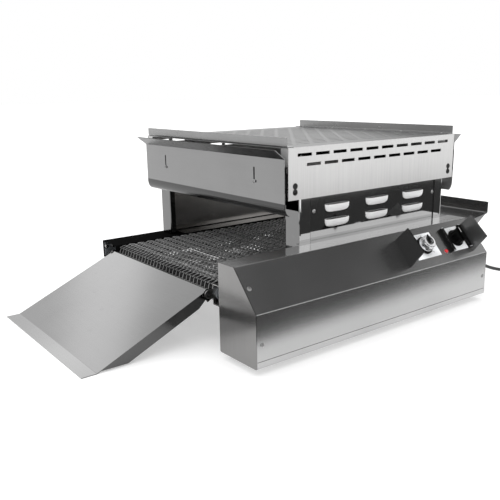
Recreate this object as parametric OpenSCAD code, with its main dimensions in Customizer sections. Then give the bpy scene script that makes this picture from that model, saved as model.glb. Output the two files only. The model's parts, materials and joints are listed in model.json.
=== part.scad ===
// Conveyor grill: a mesh belt carries food under a slotted heating hood,
// with a sloped control box along the near side and a hooked tray at each end.
// Millimetres, Z up, the belt runs along X and food leaves at the minus X end.

/* [Control box] */
// Length of the control box along the belt
box_l = 700; // [660:5:800]
// Depth of the control box
box_d = 114; // [108:1:130]
// Height of the upright front face
box_front = 104; // [96:1:112]
// Height of the control box
box_top = 178; // [170:1:190]
// Depth of the flat ledge on top
flat_d = 49; // [42:1:54]
// Height of the lip turned up along the base tray
lip_h = 14; // [8:1:20]
// Thickness of the box and hood sheet
sheet = 1.5; // [1:0.1:2]
// Radius of the folds of the sheet metal
fold_r = 3; // [2.5:0.5:4]
// Height of the rubber feet
foot_h = 14; // [12:1:20]
// Radius of the rubber feet
foot_r = 15; // [10:1:18]
// Distance of a foot from the end of the box
foot_in = 70; // [50:5:120]

/* [Conveyor] */
// Length of the two side rails
rail_l = 700; // [680:5:760]
// Distance of the rails from the left end of the box
rail_off = 40; // [36:1:60]
// Width of a rail
rail_w = 80; // [76:1:90]
// Height of a rail
rail_h = 44; // [44:1:52]
// Wall of a rail
rail_t = 2; // [1.5:0.5:3]
// Height of the rails above the table
rail_z = 80; // [76:1:90]
// Radius of the end drums
drum_r = 17; // [14:0.5:17]
// Radius of the drum journals
journal_r = 8; // [6:0.5:9]
// Thickness of the mesh belt
belt_t = 4.5; // [3:0.5:4.5]
// Free gap between the belt and each rail
belt_side = 3; // [2:0.5:6]
// Openings of the belt net along a run
net_nx = 12; // [8:1:12]
// Openings of the belt net across the belt
net_ny = 12; // [8:1:12]
// Wire width left between the openings of the net
net_wire = 7; // [5:0.5:9]

/* [Hood] */
// Length of the hood
hood_l = 538; // [500:2:560]
// Distance of the hood from the discharge end of the rails
hood_off = 144; // [120:1:150]
// Inset of the hood sides from the outer faces of the rails
hood_in = 12; // [8:1:20]
// Height of the hood side panels
hood_h = 106; // [98:1:120]
// Height of the hood above the rails
tunnel_h = 160; // [150:1:180]
// Height of the upstands along both ends of the top
upstand_h = 20; // [10:1:30]
// Length of a vent slot
slot_l = 39; // [30:1:42]
// Width of a vent slot
slot_w = 6.5; // [4:0.5:8]
// Pitch of the vent slots
slot_pitch = 50; // [48:0.5:52]
// Slots in the upper row
slot_n = 10; // [6:1:10]
// Pitch of the slot rows in the top plate
row_pitch = 30; // [24:1:40]
// Distance of the front posts from the hood end
post_in = 31; // [26:1:40]
// Distance of the rear posts from the other hood end
post_out = 35; // [28:1:44]
// Width of a post along the belt
post_w = 30; // [26:1:36]
// Width of a post across the belt
post_d = 47; // [40:1:50]
// Wall of a post
post_t = 2; // [1.5:0.5:3]
// Length of a louvre
louvre_l = 70; // [50:1:90]
// Height of a louvre
louvre_h = 17; // [12:1:20]
// Outward bulge of a louvre
louvre_out = 8; // [5:0.5:10]
// Pitch of the louvre columns
louvre_px = 126; // [110:1:130]
// Pitch of the louvre rows
louvre_pz = 32; // [28:1:40]

/* [Heating] */
// Number of upper heater tubes
heat_n = 6; // [4:1:7]
// Radius of a heater tube
heat_r = 4; // [3:0.5:5]
// Number of lower heater tubes
low_n = 4; // [2:1:4]

/* [Flaps] */
// Height of the flat face of a flap
flap_h = 95; // [84:1:100]
// Outward reach of the upper lip
flare_out = 25; // [15:1:30]
// Rise of the upper lip
flare_up = 19; // [12:1:24]
// Inward reach of the lower lip
curl_in = 14; // [8:1:16]
// Drop of the lower lip
curl_down = 22; // [16:1:26]
// Travel of a flap
flap_travel = 28; // [20:1:30]
// Distance of the flap screws from the middle
flap_screw = 184; // [150:1:200]
// Radius of a flap screw shank
screw_r = 2; // [1.5:0.1:2.2]

/* [Trays] */
// Width of the two hooked trays, which sets the width of the bed, belt and hood
tray_w = 428; // [392:2:480]
// Free gap between a tray and each rail
tray_side = 4; // [3:0.5:8]
// Downward slope of the discharge chute
chute_tilt = 24; // [20:1:28]
// Upward slope of the infeed tray
infeed_tilt = 8; // [4:1:12]
// Length of the flat lip at the foot of the chute
lip_l = 30; // [20:1:40]
// Height of the upright lip of the infeed tray
stop_h = 32; // [20:1:36]
// Length by which the infeed tray is shorter than the chute
infeed_cut = 10; // [0:1:20]
// Depth of the side flanges of a tray
flange_d = 24; // [18:1:28]
// Radius of the hook rods
rod_r = 4; // [3:0.5:4.5]

/* [Controls] */
// Distance of the first control from the right end of the box
speed_in = 196; // [188:1:206]
// Distance of the second control from the right end of the box
heat_in = 82; // [76:1:86]
// Height of the controls up the sloped panel
control_up = 52; // [48:1:56]
// Radius of the knobs
knob_r = 21; // [18:0.5:24]
// Height of the knobs
knob_h = 24; // [18:1:28]
// Height of the dial plates
dial_s = 60; // [56:1:66]
// Width of the first dial plate
speed_dial_w = 80; // [66:1:84]
// Width of the second dial plate
heat_dial_w = 70; // [64:1:74]
// Width of the dark bars beside the second dial
dial_bar = 8; // [5:0.5:9]
// Height of these bars above the panel
dial_bar_h = 8; // [4:0.5:10]
// Height of the guard cheeks above the panel
guard_h = 52; // [40:1:60]
// Thickness of the guard cheeks
guard_t = 3; // [2:0.5:4]
// Free gap from the first dial plate to the left cheek
guard_gap_left = 34; // [10:1:40]
// Free gap from the second dial plate to the right cheek
guard_gap_right = 1.5; // [1:0.5:6]
// Radius of the pilot lamp
lamp_r = 6; // [5:0.5:8]

/* [Cord] */
// Diameter of the mains cord
cord_d = 8; // [7:0.5:9]
// Turns of the cord coil
coil_turns = 6; // [5:1:7]
// Middle radius of the cord coil
coil_r = 45; // [44:1:50]

/* [Hidden] */
$fn = 48;

// Named clearances
run_gap = 0.4;
bore_gap = 0.05;
slide_gap = 0.3;
hole_gap = 0.5;

// Main positions
zb = foot_h;
zf = foot_h + box_front;
zt = foot_h + box_top;
slope_d = box_d - flat_d;
slope_a = atan2(zt - zf, slope_d);
slope_l = norm([slope_d, zt - zf]);
speed_x = box_l - speed_in;
heat_x = box_l - heat_in;
bed_w = tray_w + 2 * tray_side;
mid = box_d + rail_w + bed_w / 2;
web = bed_w / 2;
half = web + rail_w;
rail_top = rail_z + rail_h;
axis_z = rail_z + rail_h / 2;
belt_r = drum_r + run_gap + belt_t;
nose = belt_r + 0.1;
drive_x = rail_off + nose;
idler_x = rail_off + rail_l - nose;
belt_w = bed_w - 2 * belt_side;
hood_x = rail_off + hood_off;
hood_end = hood_x + hood_l;
hood_z = rail_top + tunnel_h;
hood_top = hood_z + hood_h;
hood_w = 2 * (half - hood_in);
panel_in = hood_w / 2 - sheet;
post_fx = hood_x + post_in;
post_rx = hood_end - post_out - post_w;
wall_out = panel_in - post_t;
beam_h = 52;
beam_d = 20;
beam_z = hood_z + 16;
beam_x = 6;
flap_off = beam_x + slide_gap + sheet;
flap_z = hood_z - 11;
screw_z = flap_z + 43;
bar_half = web + 8;
heat_z = beam_z - 10;
pivot_gap = 11;
pivot_z = axis_z + 2;
plate_up = 7;
chute_px = rail_off - pivot_gap;
infeed_px = rail_off + rail_l + pivot_gap;
tray_l = (pivot_z - sheet + plate_up * cos(chute_tilt)) / sin(chute_tilt);
chute_end = chute_px - tray_l * cos(chute_tilt) - plate_up * sin(chute_tilt) - lip_l;
infeed_l = tray_l - infeed_cut;
infeed_end = infeed_px + infeed_l * cos(infeed_tilt) - plate_up * sin(infeed_tilt) + sheet;
ear_r = 9.5;
lug_d = 16;
stop_x = rail_off + rail_l + 2.2;
stop_z = pivot_z - 14;
guard_up = 20;
guard_front = guard_up * cos(slope_a) - guard_h * sin(slope_a);
mid_x = (chute_end + infeed_end) / 2;
mid_y = (guard_front + mid + half) / 2;
low_z = axis_z - 4;
tie_r = 5;
tie_z = axis_z + 2;
tie_x = [drive_x + 50, (drive_x + idler_x) / 2, idler_x - 50];
skid_y = [for (k = [-3, -1, 1, 3]) k * belt_w / 8.6];
heater_pin = 18;
upstand_foot = 18;
leg_w = 60;
leg_d = 50;
leg_t = 2;
leg_x = [rail_off + foot_in, rail_off + rail_l - foot_in];
leg_y = mid + half - rail_w / 2;

// A point list offset to its left by t, which turns a bent line into sheet metal
function unit(v) = v / norm(v);
function left(v) = [-v[1], v[0]];
function seg(p, i) = left(unit(p[i + 1] - p[i]));
function turn_in(p, i) = i > 0 ? seg(p, i - 1) : seg(p, 0);
function turn_out(p, i) = i < len(p) - 1 ? seg(p, i) : seg(p, i - 1);
function mitre(p, i, t) = let (m = turn_in(p, i) + turn_out(p, i)) p[i] + m * (2 * t / (m * m));
function strip(p, t) = concat(p, [for (i = [len(p) - 1:-1:0]) mitre(p, i, t)]);

// Rounds the inner corners of a bent line, each by an arc of radius r in n steps
function fold(p, i, r, n) = let (
        u = unit(p[i - 1] - p[i]),
        v = unit(p[i + 1] - p[i]),
        a = acos(u * v) / 2,
        s = 180 - 2 * a,
        c = p[i] + unit(u + v) * r / sin(a),
        from = p[i] + u * r / tan(a) - c,
        to = p[i] + v * r / tan(a) - c)
    [for (k = [0:n]) c + (from * sin((1 - k / n) * s) + to * sin(k / n * s)) / sin(s)];
function bent(p, r, n = 4) = [for (i = [0:len(p) - 1])
    each i == 0 || i == len(p) - 1 ? [p[i]] : fold(p, i, r, n)];

// Points of an elliptic arc
function arc(c, rx, rz, a, b, n) = [for (i = [0:n])
    let (w = a + (b - a) * i / n) c + [rx * cos(w), rz * sin(w)]];

module place() {
    translate([-mid_x, -mid_y, 0]) children();
}

// Draws a profile given in Y and Z along X
module along_x(x0, l) {
    translate([x0, 0, 0]) rotate([90, 0, 90]) linear_extrude(l) children();
}

// Draws a profile given in X and Z across the machine, from -w to w about the middle
module across(w) {
    translate([0, mid + w, 0]) rotate([90, 0, 0]) linear_extrude(2 * w) children();
}

module cross_rod(x, z, r, w) {
    translate([x, mid - w, z]) rotate([-90, 0, 0]) cylinder(r = r, h = 2 * w);
}

module far_side() {
    translate([0, 2 * mid, 0]) mirror([0, 1, 0]) children();
}

module on_slope(x, up) {
    translate([x, 0, zf]) rotate([slope_a, 0, 0]) translate([0, up, 0]) children();
}

// Rails

module rail_bores() {
    through = web + rail_t + 1;
    for (x = [drive_x, idler_x]) cross_rod(x, axis_z, journal_r + hole_gap, through);
    for (x = tie_x) cross_rod(x, tie_z, tie_r, through);
    for (i = [0:low_n - 1]) cross_rod(low_x(i), low_z, heat_r, through);
    cross_rod(chute_px, pivot_z, rod_r, through);
    cross_rod(infeed_px, pivot_z, rod_r, through);
    cross_rod(stop_x, stop_z, rod_r, through);
}

function low_x(i) = tie_x[0] + 75 + i * (tie_x[2] - tie_x[0] - 150) / max(1, low_n - 1);

// The inner web runs on past each end as an ear that carries the hook rods
module rail_web() {
    translate([0, mid - web, 0]) rotate([90, 0, 0]) linear_extrude(rail_t) union() {
        translate([rail_off, rail_z]) square([rail_l, rail_h]);
        for (x = [chute_px, infeed_px]) translate([x, pivot_z]) circle(r = rod_r + 5);
        translate([chute_px, pivot_z - rod_r - 5]) square([pivot_gap + 1, 2 * rod_r + 10]);
        translate([infeed_px - pivot_gap - 1, pivot_z - rod_r - 5]) square([pivot_gap + 1, 2 * rod_r + 10]);
        translate([stop_x, stop_z]) circle(r = rod_r + 2.5);
    }
}

module rail() {
    difference() {
        union() {
            difference() {
                translate([rail_off, box_d, rail_z]) cube([rail_l, rail_w - rail_t, rail_h]);
                translate([rail_off - 1, box_d + rail_t, rail_z + rail_t])
                    cube([rail_l + 2, rail_w, rail_h - 2 * rail_t]);
            }
            rail_web();
        }
        rail_bores();
    }
}

module rail_near() {
    color("silver") place() difference() {
        rail();
        translate([drive_x, box_d - 10, axis_z]) rotate([-90, 0, 0])
            cylinder(r = journal_r + hole_gap, h = 20);
    }
}

module rail_far() {
    color("silver") place() far_side() rail();
}

module cross_ties() {
    color("gray") place() for (x = tie_x) cross_rod(x, tie_z, tie_r, web + rail_t);
}

// Flat bars on edge that carry the upper run
module belt_skids() {
    skid_z = tie_z + tie_r;
    skid_h = axis_z + drum_r + run_gap - slide_gap - skid_z;
    color("gray") place() for (y = skid_y)
        translate([tie_x[0] - 20, mid + y - 1.5, skid_z])
            cube([tie_x[2] - tie_x[0] + 40, 3, skid_h]);
}

// Mesh belt: a staggered net on both runs, carried round the end drums

net_px = (idler_x - drive_x - net_wire) / (net_nx + 0.5);
net_py = (belt_w - net_wire) / net_ny;

module net_run(z) {
    translate([0, mid - belt_w / 2, z]) linear_extrude(belt_t) difference() {
        translate([drive_x, 0]) square([idler_x - drive_x, belt_w]);
        for (j = [0:net_ny - 1])
            for (i = [0:net_nx - 1])
                translate([drive_x + net_wire + (i + (j % 2) / 2) * net_px, net_wire + j * net_py])
                    square([net_px - net_wire, net_py - net_wire]);
    }
}

module belt_wrap(x, turn) {
    translate([x, mid, axis_z]) rotate([0, turn, 0]) rotate([90, 0, 0]) difference() {
        translate([0, 0, -belt_w / 2]) cylinder(r = belt_r, h = belt_w);
        translate([0, 0, -belt_w / 2 - 1]) cylinder(r = belt_r - belt_t, h = belt_w + 2);
        translate([0, -belt_r - 1, -belt_w / 2 - 1]) cube([belt_r + 1, 2 * belt_r + 2, belt_w + 2]);
        for (j = [0:2:net_ny - 1])
            translate([-belt_r - 1, -drum_r / 2, net_wire + j * net_py - belt_w / 2])
                cube([belt_r + 1, drum_r, net_py - net_wire]);
    }
}

module belt_top_run() {
    color("dimgray") place() net_run(axis_z + belt_r - belt_t);
}

module belt_return_run() {
    color("dimgray") place() net_run(axis_z - belt_r);
}

module belt_front_wrap() {
    color("dimgray") place() belt_wrap(drive_x, 0);
}

module belt_rear_wrap() {
    color("dimgray") place() belt_wrap(idler_x, 180);
}

// Drums turn in flanged bearings on the rail webs

bearing_l = 12;
bearing_wall = 6;
bearing_lip = 9;
bearing_foot = 4;
motor_bore = box_d - sheet - 30;

module drum(x) {
    cross_rod(x, axis_z, drum_r, belt_w / 2 + 1);
    cross_rod(x, axis_z, journal_r, web + rail_t + bearing_l + 4);
}

module drive_drum() {
    color("lightgray") place() union() {
        drum(drive_x);
        translate([drive_x, motor_bore + 2, axis_z]) rotate([-90, 0, 0])
            cylinder(r = journal_r, h = mid - web - motor_bore - 2);
    }
}

module idler_drum() {
    color("lightgray") place() drum(idler_x);
}

module bearing(x) {
    translate([x, mid - web - rail_t, axis_z]) rotate([90, 0, 0]) difference() {
        union() {
            cylinder(r = journal_r + bearing_lip, h = bearing_foot);
            cylinder(r = journal_r + bearing_wall, h = bearing_l);
        }
        translate([0, 0, -1]) cylinder(r = journal_r + bore_gap, h = bearing_l + 2);
    }
}

module drum_bearings() {
    color("darkgray") place() {
        for (x = [drive_x, idler_x]) bearing(x);
        far_side() for (x = [drive_x, idler_x]) bearing(x);
    }
}

module low_heaters() {
    color("dimgray") place() for (i = [0:low_n - 1]) {
        cross_rod(low_x(i), low_z, heat_r, web + rail_t);
        cross_rod(low_x(i), low_z, heat_r / 2, web + rail_t + heater_pin);
    }
}

// Far legs, bent from sheet, and the rubber feet

module leg(x) {
    translate([x - leg_w / 2, leg_y - leg_d / 2, zb]) difference() {
        cube([leg_w, leg_d, rail_z - zb]);
        translate([leg_t, -1, leg_t]) cube([leg_w - 2 * leg_t, leg_d - leg_t + 1, rail_z - zb - 2 * leg_t]);
    }
}

module leg_front() {
    color("silver") place() leg(leg_x[0]);
}

module leg_rear() {
    color("silver") place() leg(leg_x[1]);
}

module foot(x, y) {
    translate([x, y, 0]) rotate_extrude()
        polygon([[0, 0], [foot_r - 2, 0], [foot_r, 3], [foot_r - 3, foot_h], [0, foot_h]]);
}

module rubber_feet() {
    color("black") place() {
        for (x = [foot_in, box_l - foot_in]) foot(x, box_d / 2);
        for (x = leg_x) foot(x, leg_y);
    }
}

// Control box

module box_profile() {
    upper = bent([[0, zb + lip_h], [0, zf], [slope_d, zt], [box_d, zt]], fold_r);
    lower = bent([[box_d, zb + lip_h], [box_d, zb], [0, zb], [0, zb + lip_h / 2]], fold_r);
    polygon(concat(upper, lower));
}

module box_tray() {
    tray = strip(bent([[0, zb + lip_h], [0, zb], [box_d, zb], [box_d, zt - sheet]], fold_r), sheet);
    color("silver") place() difference() {
        along_x(sheet, box_l - 2 * sheet) polygon(tray);
        translate([drive_x, box_d - 10, axis_z]) rotate([-90, 0, 0])
            cylinder(r = journal_r + hole_gap, h = 20);
    }
}

module box_cover() {
    skin = strip(bent([[box_d, zt], [slope_d, zt], [0, zf], [0, zb + lip_h]], fold_r), sheet);
    color("silver") place() difference() {
        along_x(sheet, box_l - 2 * sheet) polygon(skin);
        for (x = [speed_x, heat_x])
            on_slope(x, control_up) translate([0, 0, -10]) cylinder(r = spindle_r + hole_gap, h = 20);
        on_slope(lamp_x, lamp_up) translate([0, 0, -10]) cylinder(r = lamp_r - 1.5, h = 20);
    }
}

module box_end_left() {
    color("silver") place() along_x(0, sheet) box_profile();
}

module box_end_right() {
    color("silver") place() along_x(box_l - sheet, sheet) difference() {
        box_profile();
        translate([cord_y, cord_z]) circle(r = gland_r + slide_gap);
    }
}

// What the box holds: a hollow shaft gear motor and the control units

gear_w = 70;
gear_d = 50;
gear_in = 4;
motor_r = 28;
motor_y = box_d - sheet - 36;
motor_l = 115;

module gear_motor() {
    color("dimgray") place() difference() {
        union() {
            translate([drive_x - gear_w / 2 + gear_in, box_d - sheet - gear_d, axis_z - gear_w / 2])
                cube([gear_w - gear_in, gear_d, gear_w]);
            translate([drive_x + gear_w / 2, motor_y, axis_z]) rotate([0, 90, 0])
                cylinder(r = motor_r, h = motor_l);
        }
        translate([drive_x, motor_bore, axis_z]) rotate([-90, 0, 0])
            cylinder(r = journal_r + bore_gap, h = 40);
    }
}

spindle_r = 3;
spindle_l = 12;
unit_s = 46;
unit_h = 26;

module control_unit(x) {
    on_slope(x, control_up) translate([0, 0, -sheet]) difference() {
        translate([-unit_s / 2, -unit_s / 2, -unit_h]) cube([unit_s, unit_s, unit_h]);
        translate([0, 0, -spindle_l - 1]) cylinder(r = spindle_r + bore_gap, h = spindle_l + 2);
    }
}

module speed_controller() {
    color("seagreen") place() control_unit(speed_x);
}

module thermostat() {
    color("tan") place() control_unit(heat_x);
}

term_l = 70;
term_d = 28;
term_h = 24;
term_in = 120;

module terminal_block() {
    color("beige") place() translate([box_l - term_in, 40, zb + sheet]) difference() {
        cube([term_l, term_d, term_h]);
        for (i = [0:5]) translate([term_l * (i + 0.5) / 6 - 3.5, -1, term_h - 10])
            cube([7, term_d + 2, 11]);
    }
}

// Controls on the sloped panel

dial_t = 1;
lamp_x = (speed_x + heat_x) / 2 + 2;
lamp_up = 27;

module dial(x, w) {
    on_slope(x, control_up) difference() {
        translate([-w / 2, -dial_s / 2, 0]) cube([w, dial_s, dial_t]);
        translate([0, 0, -1]) cylinder(r = spindle_r + hole_gap, h = dial_t + 2);
    }
}

module speed_dial() {
    color("white") place() dial(speed_x, speed_dial_w);
}

// The second dial sits between two dark bars
module heat_dial() {
    color("white") place() union() {
        dial(heat_x, heat_dial_w);
        for (s = [-1, 1]) on_slope(heat_x + s * (heat_dial_w - dial_bar) / 2, control_up)
            translate([-dial_bar / 2, -dial_s / 2, 0]) cube([dial_bar, dial_s, dial_bar_h]);
    }
}

// A knob turned on its skirt, with a raised grip bar and a spindle
module knob(x) {
    on_slope(x, control_up) translate([0, 0, dial_t + slide_gap]) union() {
        rotate_extrude() polygon([[0, 0], [knob_r, 0], [knob_r, 4], [knob_r - 2, 6], [knob_r - 4, knob_h - 3],
            [knob_r - 6, knob_h - 1], [knob_r - 9, knob_h - 1], [0, knob_h - 1]]);
        translate([-4, 4 - knob_r, 4]) cube([8, 2 * knob_r - 8, knob_h - 4]);
        translate([0, 0, -dial_t - slide_gap - sheet - spindle_l]) cylinder(r = spindle_r, h = spindle_l + 8);
    }
}

module speed_knob() {
    color("gainsboro") place() knob(speed_x);
}

module heat_knob() {
    color("black") place() knob(heat_x);
}

module pilot_lamp() {
    color("red") place() on_slope(lamp_x, lamp_up) union() {
        translate([0, 0, -14]) cylinder(r = lamp_r - 1.5, h = 15);
        rotate_extrude() polygon([[0, 0], [lamp_r, 0], [lamp_r, 1.5], [lamp_r - 1.2, 2], [lamp_r - 2, 4],
            [lamp_r - 3.5, 5], [0, 5.5]]);
    }
}

// A cheek plate that leans out over the panel beside the controls
module guard(x) {
    on_slope(x, 0) rotate([90, 0, 90]) linear_extrude(guard_t)
        polygon([[11, 0], [guard_up, guard_h], [slope_l - 15, guard_h - 6], [slope_l - 18, 0]]);
}

module guard_left() {
    color("dimgray") place() guard(speed_x - speed_dial_w / 2 - guard_gap_left - guard_t);
}

module guard_right() {
    color("dimgray") place() guard(heat_x + heat_dial_w / 2 + guard_gap_right);
}

// Hood posts and louvred walls stand on the rails

module post(x, w) {
    translate([x, mid - panel_in, rail_top]) linear_extrude(hood_z + 50 - rail_top)
        polygon(strip(bent([[w, 0], [0, 0], [0, post_d], [w / 2, post_d]], fold_r + 1),
            w > 0 ? -post_t : post_t));
}

module post_front_near() {
    color("silver") place() post(post_fx, post_w);
}

module post_front_far() {
    color("silver") place() far_side() post(post_fx, post_w);
}

module post_rear_near() {
    color("silver") place() post(post_rx + post_w, -post_w);
}

module post_rear_far() {
    color("silver") place() far_side() post(post_rx + post_w, -post_w);
}

wall_x = post_fx + 10;
wall_l = post_rx + post_w - 10 - wall_x;
wall_top = hood_z + 14;
louvre_z = hood_z - 49;
louvre_c = wall_x + wall_l / 2;

function louvre_at(i) = louvre_c + i * louvre_px;
function louvre_row(j) = louvre_z + (j - 0.5) * louvre_pz - 4;

// A pressed scoop, open along its lower edge, in Y out and Z up
module louvre(x, z) {
    curve = arc([0, 0], louvre_out, louvre_h, 0, 90, 6);
    translate([x - louvre_l / 2, mid - wall_out, z]) rotate([90, 0, 90]) union() {
        linear_extrude(louvre_l) polygon(strip([for (p = curve) [-p[0], p[1]]], -sheet));
        for (e = [0, louvre_l - sheet]) translate([0, 0, e]) linear_extrude(sheet)
            polygon(concat([[0, 0]], [for (p = curve) [-p[0], p[1]]]));
    }
}

module wall() {
    union() {
        translate([wall_x, mid - wall_out, rail_top]) rotate([90, 0, 0]) mirror([0, 0, 1])
            linear_extrude(sheet) difference() {
                square([wall_l, wall_top - rail_top]);
                for (i = [-1:1]) for (j = [0, 1])
                    translate([louvre_at(i) - wall_x - louvre_l / 2 + sheet, louvre_row(j) - rail_top])
                        square([louvre_l - 2 * sheet, louvre_h - sheet]);
            }
        for (i = [-1:1]) for (j = [0, 1]) louvre(louvre_at(i), louvre_row(j));
    }
}

module wall_near() {
    color("gray") place() wall();
}

module wall_far() {
    color("gray") place() far_side() wall();
}

// Hood shell

slot_up = hood_h - 15.5;
slot_low = hood_h - 36;
flange_in = 12;
key_in = 18;
key_up = 21;

module slot(x, z) {
    translate([x - slot_l / 2, z - slot_w / 2]) square([slot_l, slot_w]);
}

module panel() {
    union() {
        translate([hood_x, mid - panel_in, hood_z]) rotate([90, 0, 0]) linear_extrude(sheet) difference() {
            square([hood_l, hood_h]);
            for (i = [0:slot_n - 1]) slot(hood_l / 2 + (i - (slot_n - 1) / 2) * slot_pitch, slot_up);
            for (i = [0:slot_n - 2]) slot(hood_l / 2 + (i - (slot_n - 2) / 2) * slot_pitch, slot_low);
            for (x = [key_in, hood_l - key_in]) {
                translate([x, key_up]) circle(r = 3.5);
                translate([x - 2, key_up]) square([4, 9]);
            }
        }
        translate([hood_x + beam_d + 4, mid - panel_in - 0.5, hood_top - 2 * sheet])
            cube([hood_l - 2 * beam_d - 8, flange_in + 0.5, sheet]);
    }
}

module panel_near() {
    color("whitesmoke") place() panel();
}

module panel_far() {
    color("whitesmoke") place() far_side() panel();
}

row_n = floor((2 * panel_in - 2 * flange_in - 40) / row_pitch);

module top_plate() {
    color("lightgray") place() translate([hood_x, mid - panel_in, hood_top - sheet]) linear_extrude(sheet)
        difference() {
            square([hood_l, 2 * panel_in]);
            for (j = [0:row_n - 1])
                for (i = [0:slot_n - 1 - j % 2])
                    translate([hood_l / 2 + (i - (slot_n - 1 - j % 2) / 2) * slot_pitch - slot_l / 2,
                        panel_in + (j - (row_n - 1) / 2) * row_pitch - slot_w / 2])
                        square([slot_l, slot_w]);
        }
}

// Angle strips along both ends of the top
module upstand(x, d) {
    line = [[x + d, hood_top], [x, hood_top], [x, hood_top + upstand_h]];
    across(panel_in - 3) polygon(strip(bent(line, fold_r), d > 0 ? -sheet : sheet));
}

module upstand_front() {
    color("silver") place() upstand(hood_x, upstand_foot);
}

module upstand_rear() {
    color("silver") place() upstand(hood_end, -upstand_foot);
}

// Channels across both ends that carry the flaps and the reflector
module beam(x, d) {
    line = [[x + d, beam_z], [x, beam_z], [x, beam_z + beam_h], [x + d, beam_z + beam_h]];
    difference() {
        across(panel_in) polygon(strip(line, d > 0 ? -2 : 2));
        for (y = [-1, 1]) translate([x, mid + y * flap_screw, screw_z]) rotate([0, 90, 0])
            cylinder(r = screw_r, h = 12, center = true);
    }
}

module beam_front() {
    color("gray") place() beam(hood_x - beam_x, beam_d);
}

module beam_rear() {
    color("gray") place() beam(hood_end + beam_x, -beam_d);
}

// Flap: flared upper lip, rounded lower lip and two upright slots, hung on the beam screws

flap_slot = screw_r + slide_gap;

module flap_shape(w) {
    curl = arc([curl_in, flap_z], curl_in, curl_down, 180, 262, 8);
    flare = [[-flare_out, flap_z + flap_h + flare_up], [0, flap_z + flap_h], [0, screw_z]];
    path = concat(bent(flare, fold_r), curl);
    difference() {
        translate([0, w, 0]) rotate([90, 0, 0]) linear_extrude(2 * w) polygon(strip(path, sheet));
        for (y = [-1, 1]) translate([-1, y * flap_screw, screw_z]) rotate([0, 90, 0]) union() {
            cylinder(r = flap_slot, h = sheet + 2);
            translate([-flap_travel, 0, 0]) cylinder(r = flap_slot, h = sheet + 2);
            translate([-flap_travel, -flap_slot, 0]) cube([flap_travel, 2 * flap_slot, sheet + 2]);
            translate([-flap_slot, -8, 0]) cube([2 * flap_slot, 8, sheet + 2]);
        }
    }
}

module flap_front() {
    color("silver") place() translate([hood_x - flap_off, mid, 0]) flap_shape(panel_in - 1.5);
}

module flap_rear() {
    color("silver") place() translate([hood_end + flap_off, mid, 0])
        mirror([1, 0, 0]) flap_shape(panel_in - 1.5);
}

module flap_screw_at(x, d) {
    translate([x, 0, screw_z]) rotate([0, d, 0]) union() {
        translate([0, 0, -beam_x]) cylinder(r = screw_r, h = beam_x + sheet + 2 * slide_gap + 1);
        translate([0, 0, sheet + 2 * slide_gap])
            rotate_extrude() polygon([[0, 0], [4.2, 0], [4.2, 1], [3, 2.4], [0, 2.8]]);
    }
}

module flap_screws() {
    color("dimgray") place() for (y = [-1, 1]) translate([0, mid + y * flap_screw, 0]) {
        flap_screw_at(hood_x - beam_x, -90);
        flap_screw_at(hood_end + beam_x, 90);
    }
}

// Heating inside the hood

module reflector() {
    x0 = hood_x - beam_x + 2.2;
    l = hood_l + 2 * beam_x - 4.4;
    color("lightgray") place() translate([x0, mid - bar_half - 4, beam_z + 2])
        cube([l, 2 * bar_half + 8, sheet]);
}

bar_x = hood_x - beam_x + beam_d + 6;
bar_l = hood_l + 2 * beam_x - 2 * beam_d - 12;
bar_h = 18;

function heat_at(i) = post_fx + post_w + 30 + i * (post_rx - post_fx - post_w - 60) / (heat_n - 1);

module heater_bars() {
    color("gray") place() for (s = [-1, 1]) difference() {
        translate([bar_x, mid + s * (bar_half - 1) - 1, beam_z + 2 - bar_h]) cube([bar_l, 2, bar_h]);
        for (i = [0:heat_n - 1]) cross_rod(heat_at(i), heat_z, heat_r, half);
    }
}

module heaters() {
    color("dimgray") place() for (i = [0:heat_n - 1]) {
        cross_rod(heat_at(i), heat_z, heat_r, bar_half + 16);
        cross_rod(heat_at(i), heat_z, heat_r / 2, bar_half + 16 + heater_pin);
    }
}

// Hook rods and trays

module chute_rod() {
    color("silver") place() cross_rod(chute_px, pivot_z, rod_r, web + rail_t);
}

module infeed_rod() {
    color("silver") place() cross_rod(infeed_px, pivot_z, rod_r, web + rail_t);
}

module stop_rod() {
    color("silver") place() cross_rod(stop_x, stop_z, rod_r, web + rail_t);
}

// Both trays are one design. The pivot is at the origin, the plate of length l runs out along
// plus X, and its lip is bent up: flat on the table for the chute, upright for the infeed tray.
lug_a = infeed_tilt;

module tray_cheek(l) {
    low = plate_up - flange_d;
    lug_x = stop_x + rod_r + slide_gap - infeed_px;
    linear_extrude(sheet) difference() {
        union() {
            circle(r = ear_r);
            polygon([[0, 0], [0, plate_up], [l - 2 * fold_r, plate_up],
                [l - 2 * fold_r - flange_d / tan(chute_tilt), low], [30, low], [8, -9], [0, -9]]);
            rotate([0, 0, -lug_a]) translate([lug_x, -lug_d]) square([14, lug_d]);
        }
        circle(r = rod_r + slide_gap);
    }
}

module tray_form(l, turn, reach) {
    lip = [l + reach * cos(turn), plate_up + reach * sin(turn)];
    union() {
        translate([0, tray_w / 2, 0]) rotate([90, 0, 0]) linear_extrude(tray_w)
            polygon(strip(bent([[-4, plate_up], [l, plate_up], lip], fold_r), -sheet));
        for (y = [-tray_w / 2 + sheet, tray_w / 2]) translate([0, y, 0]) rotate([90, 0, 0]) tray_cheek(l);
    }
}

module discharge_chute() {
    color("lightsteelblue") place() translate([chute_px, mid, pivot_z])
        rotate([0, -chute_tilt, 0]) mirror([1, 0, 0]) tray_form(tray_l, chute_tilt, lip_l);
}

module infeed_tray() {
    color("lightsteelblue") place() translate([infeed_px, mid, pivot_z])
        rotate([0, -infeed_tilt, 0]) tray_form(infeed_l, 90 - infeed_tilt, stop_h);
}

// Mains cord with a strain relief, a tied coil on the table and a plug

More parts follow.
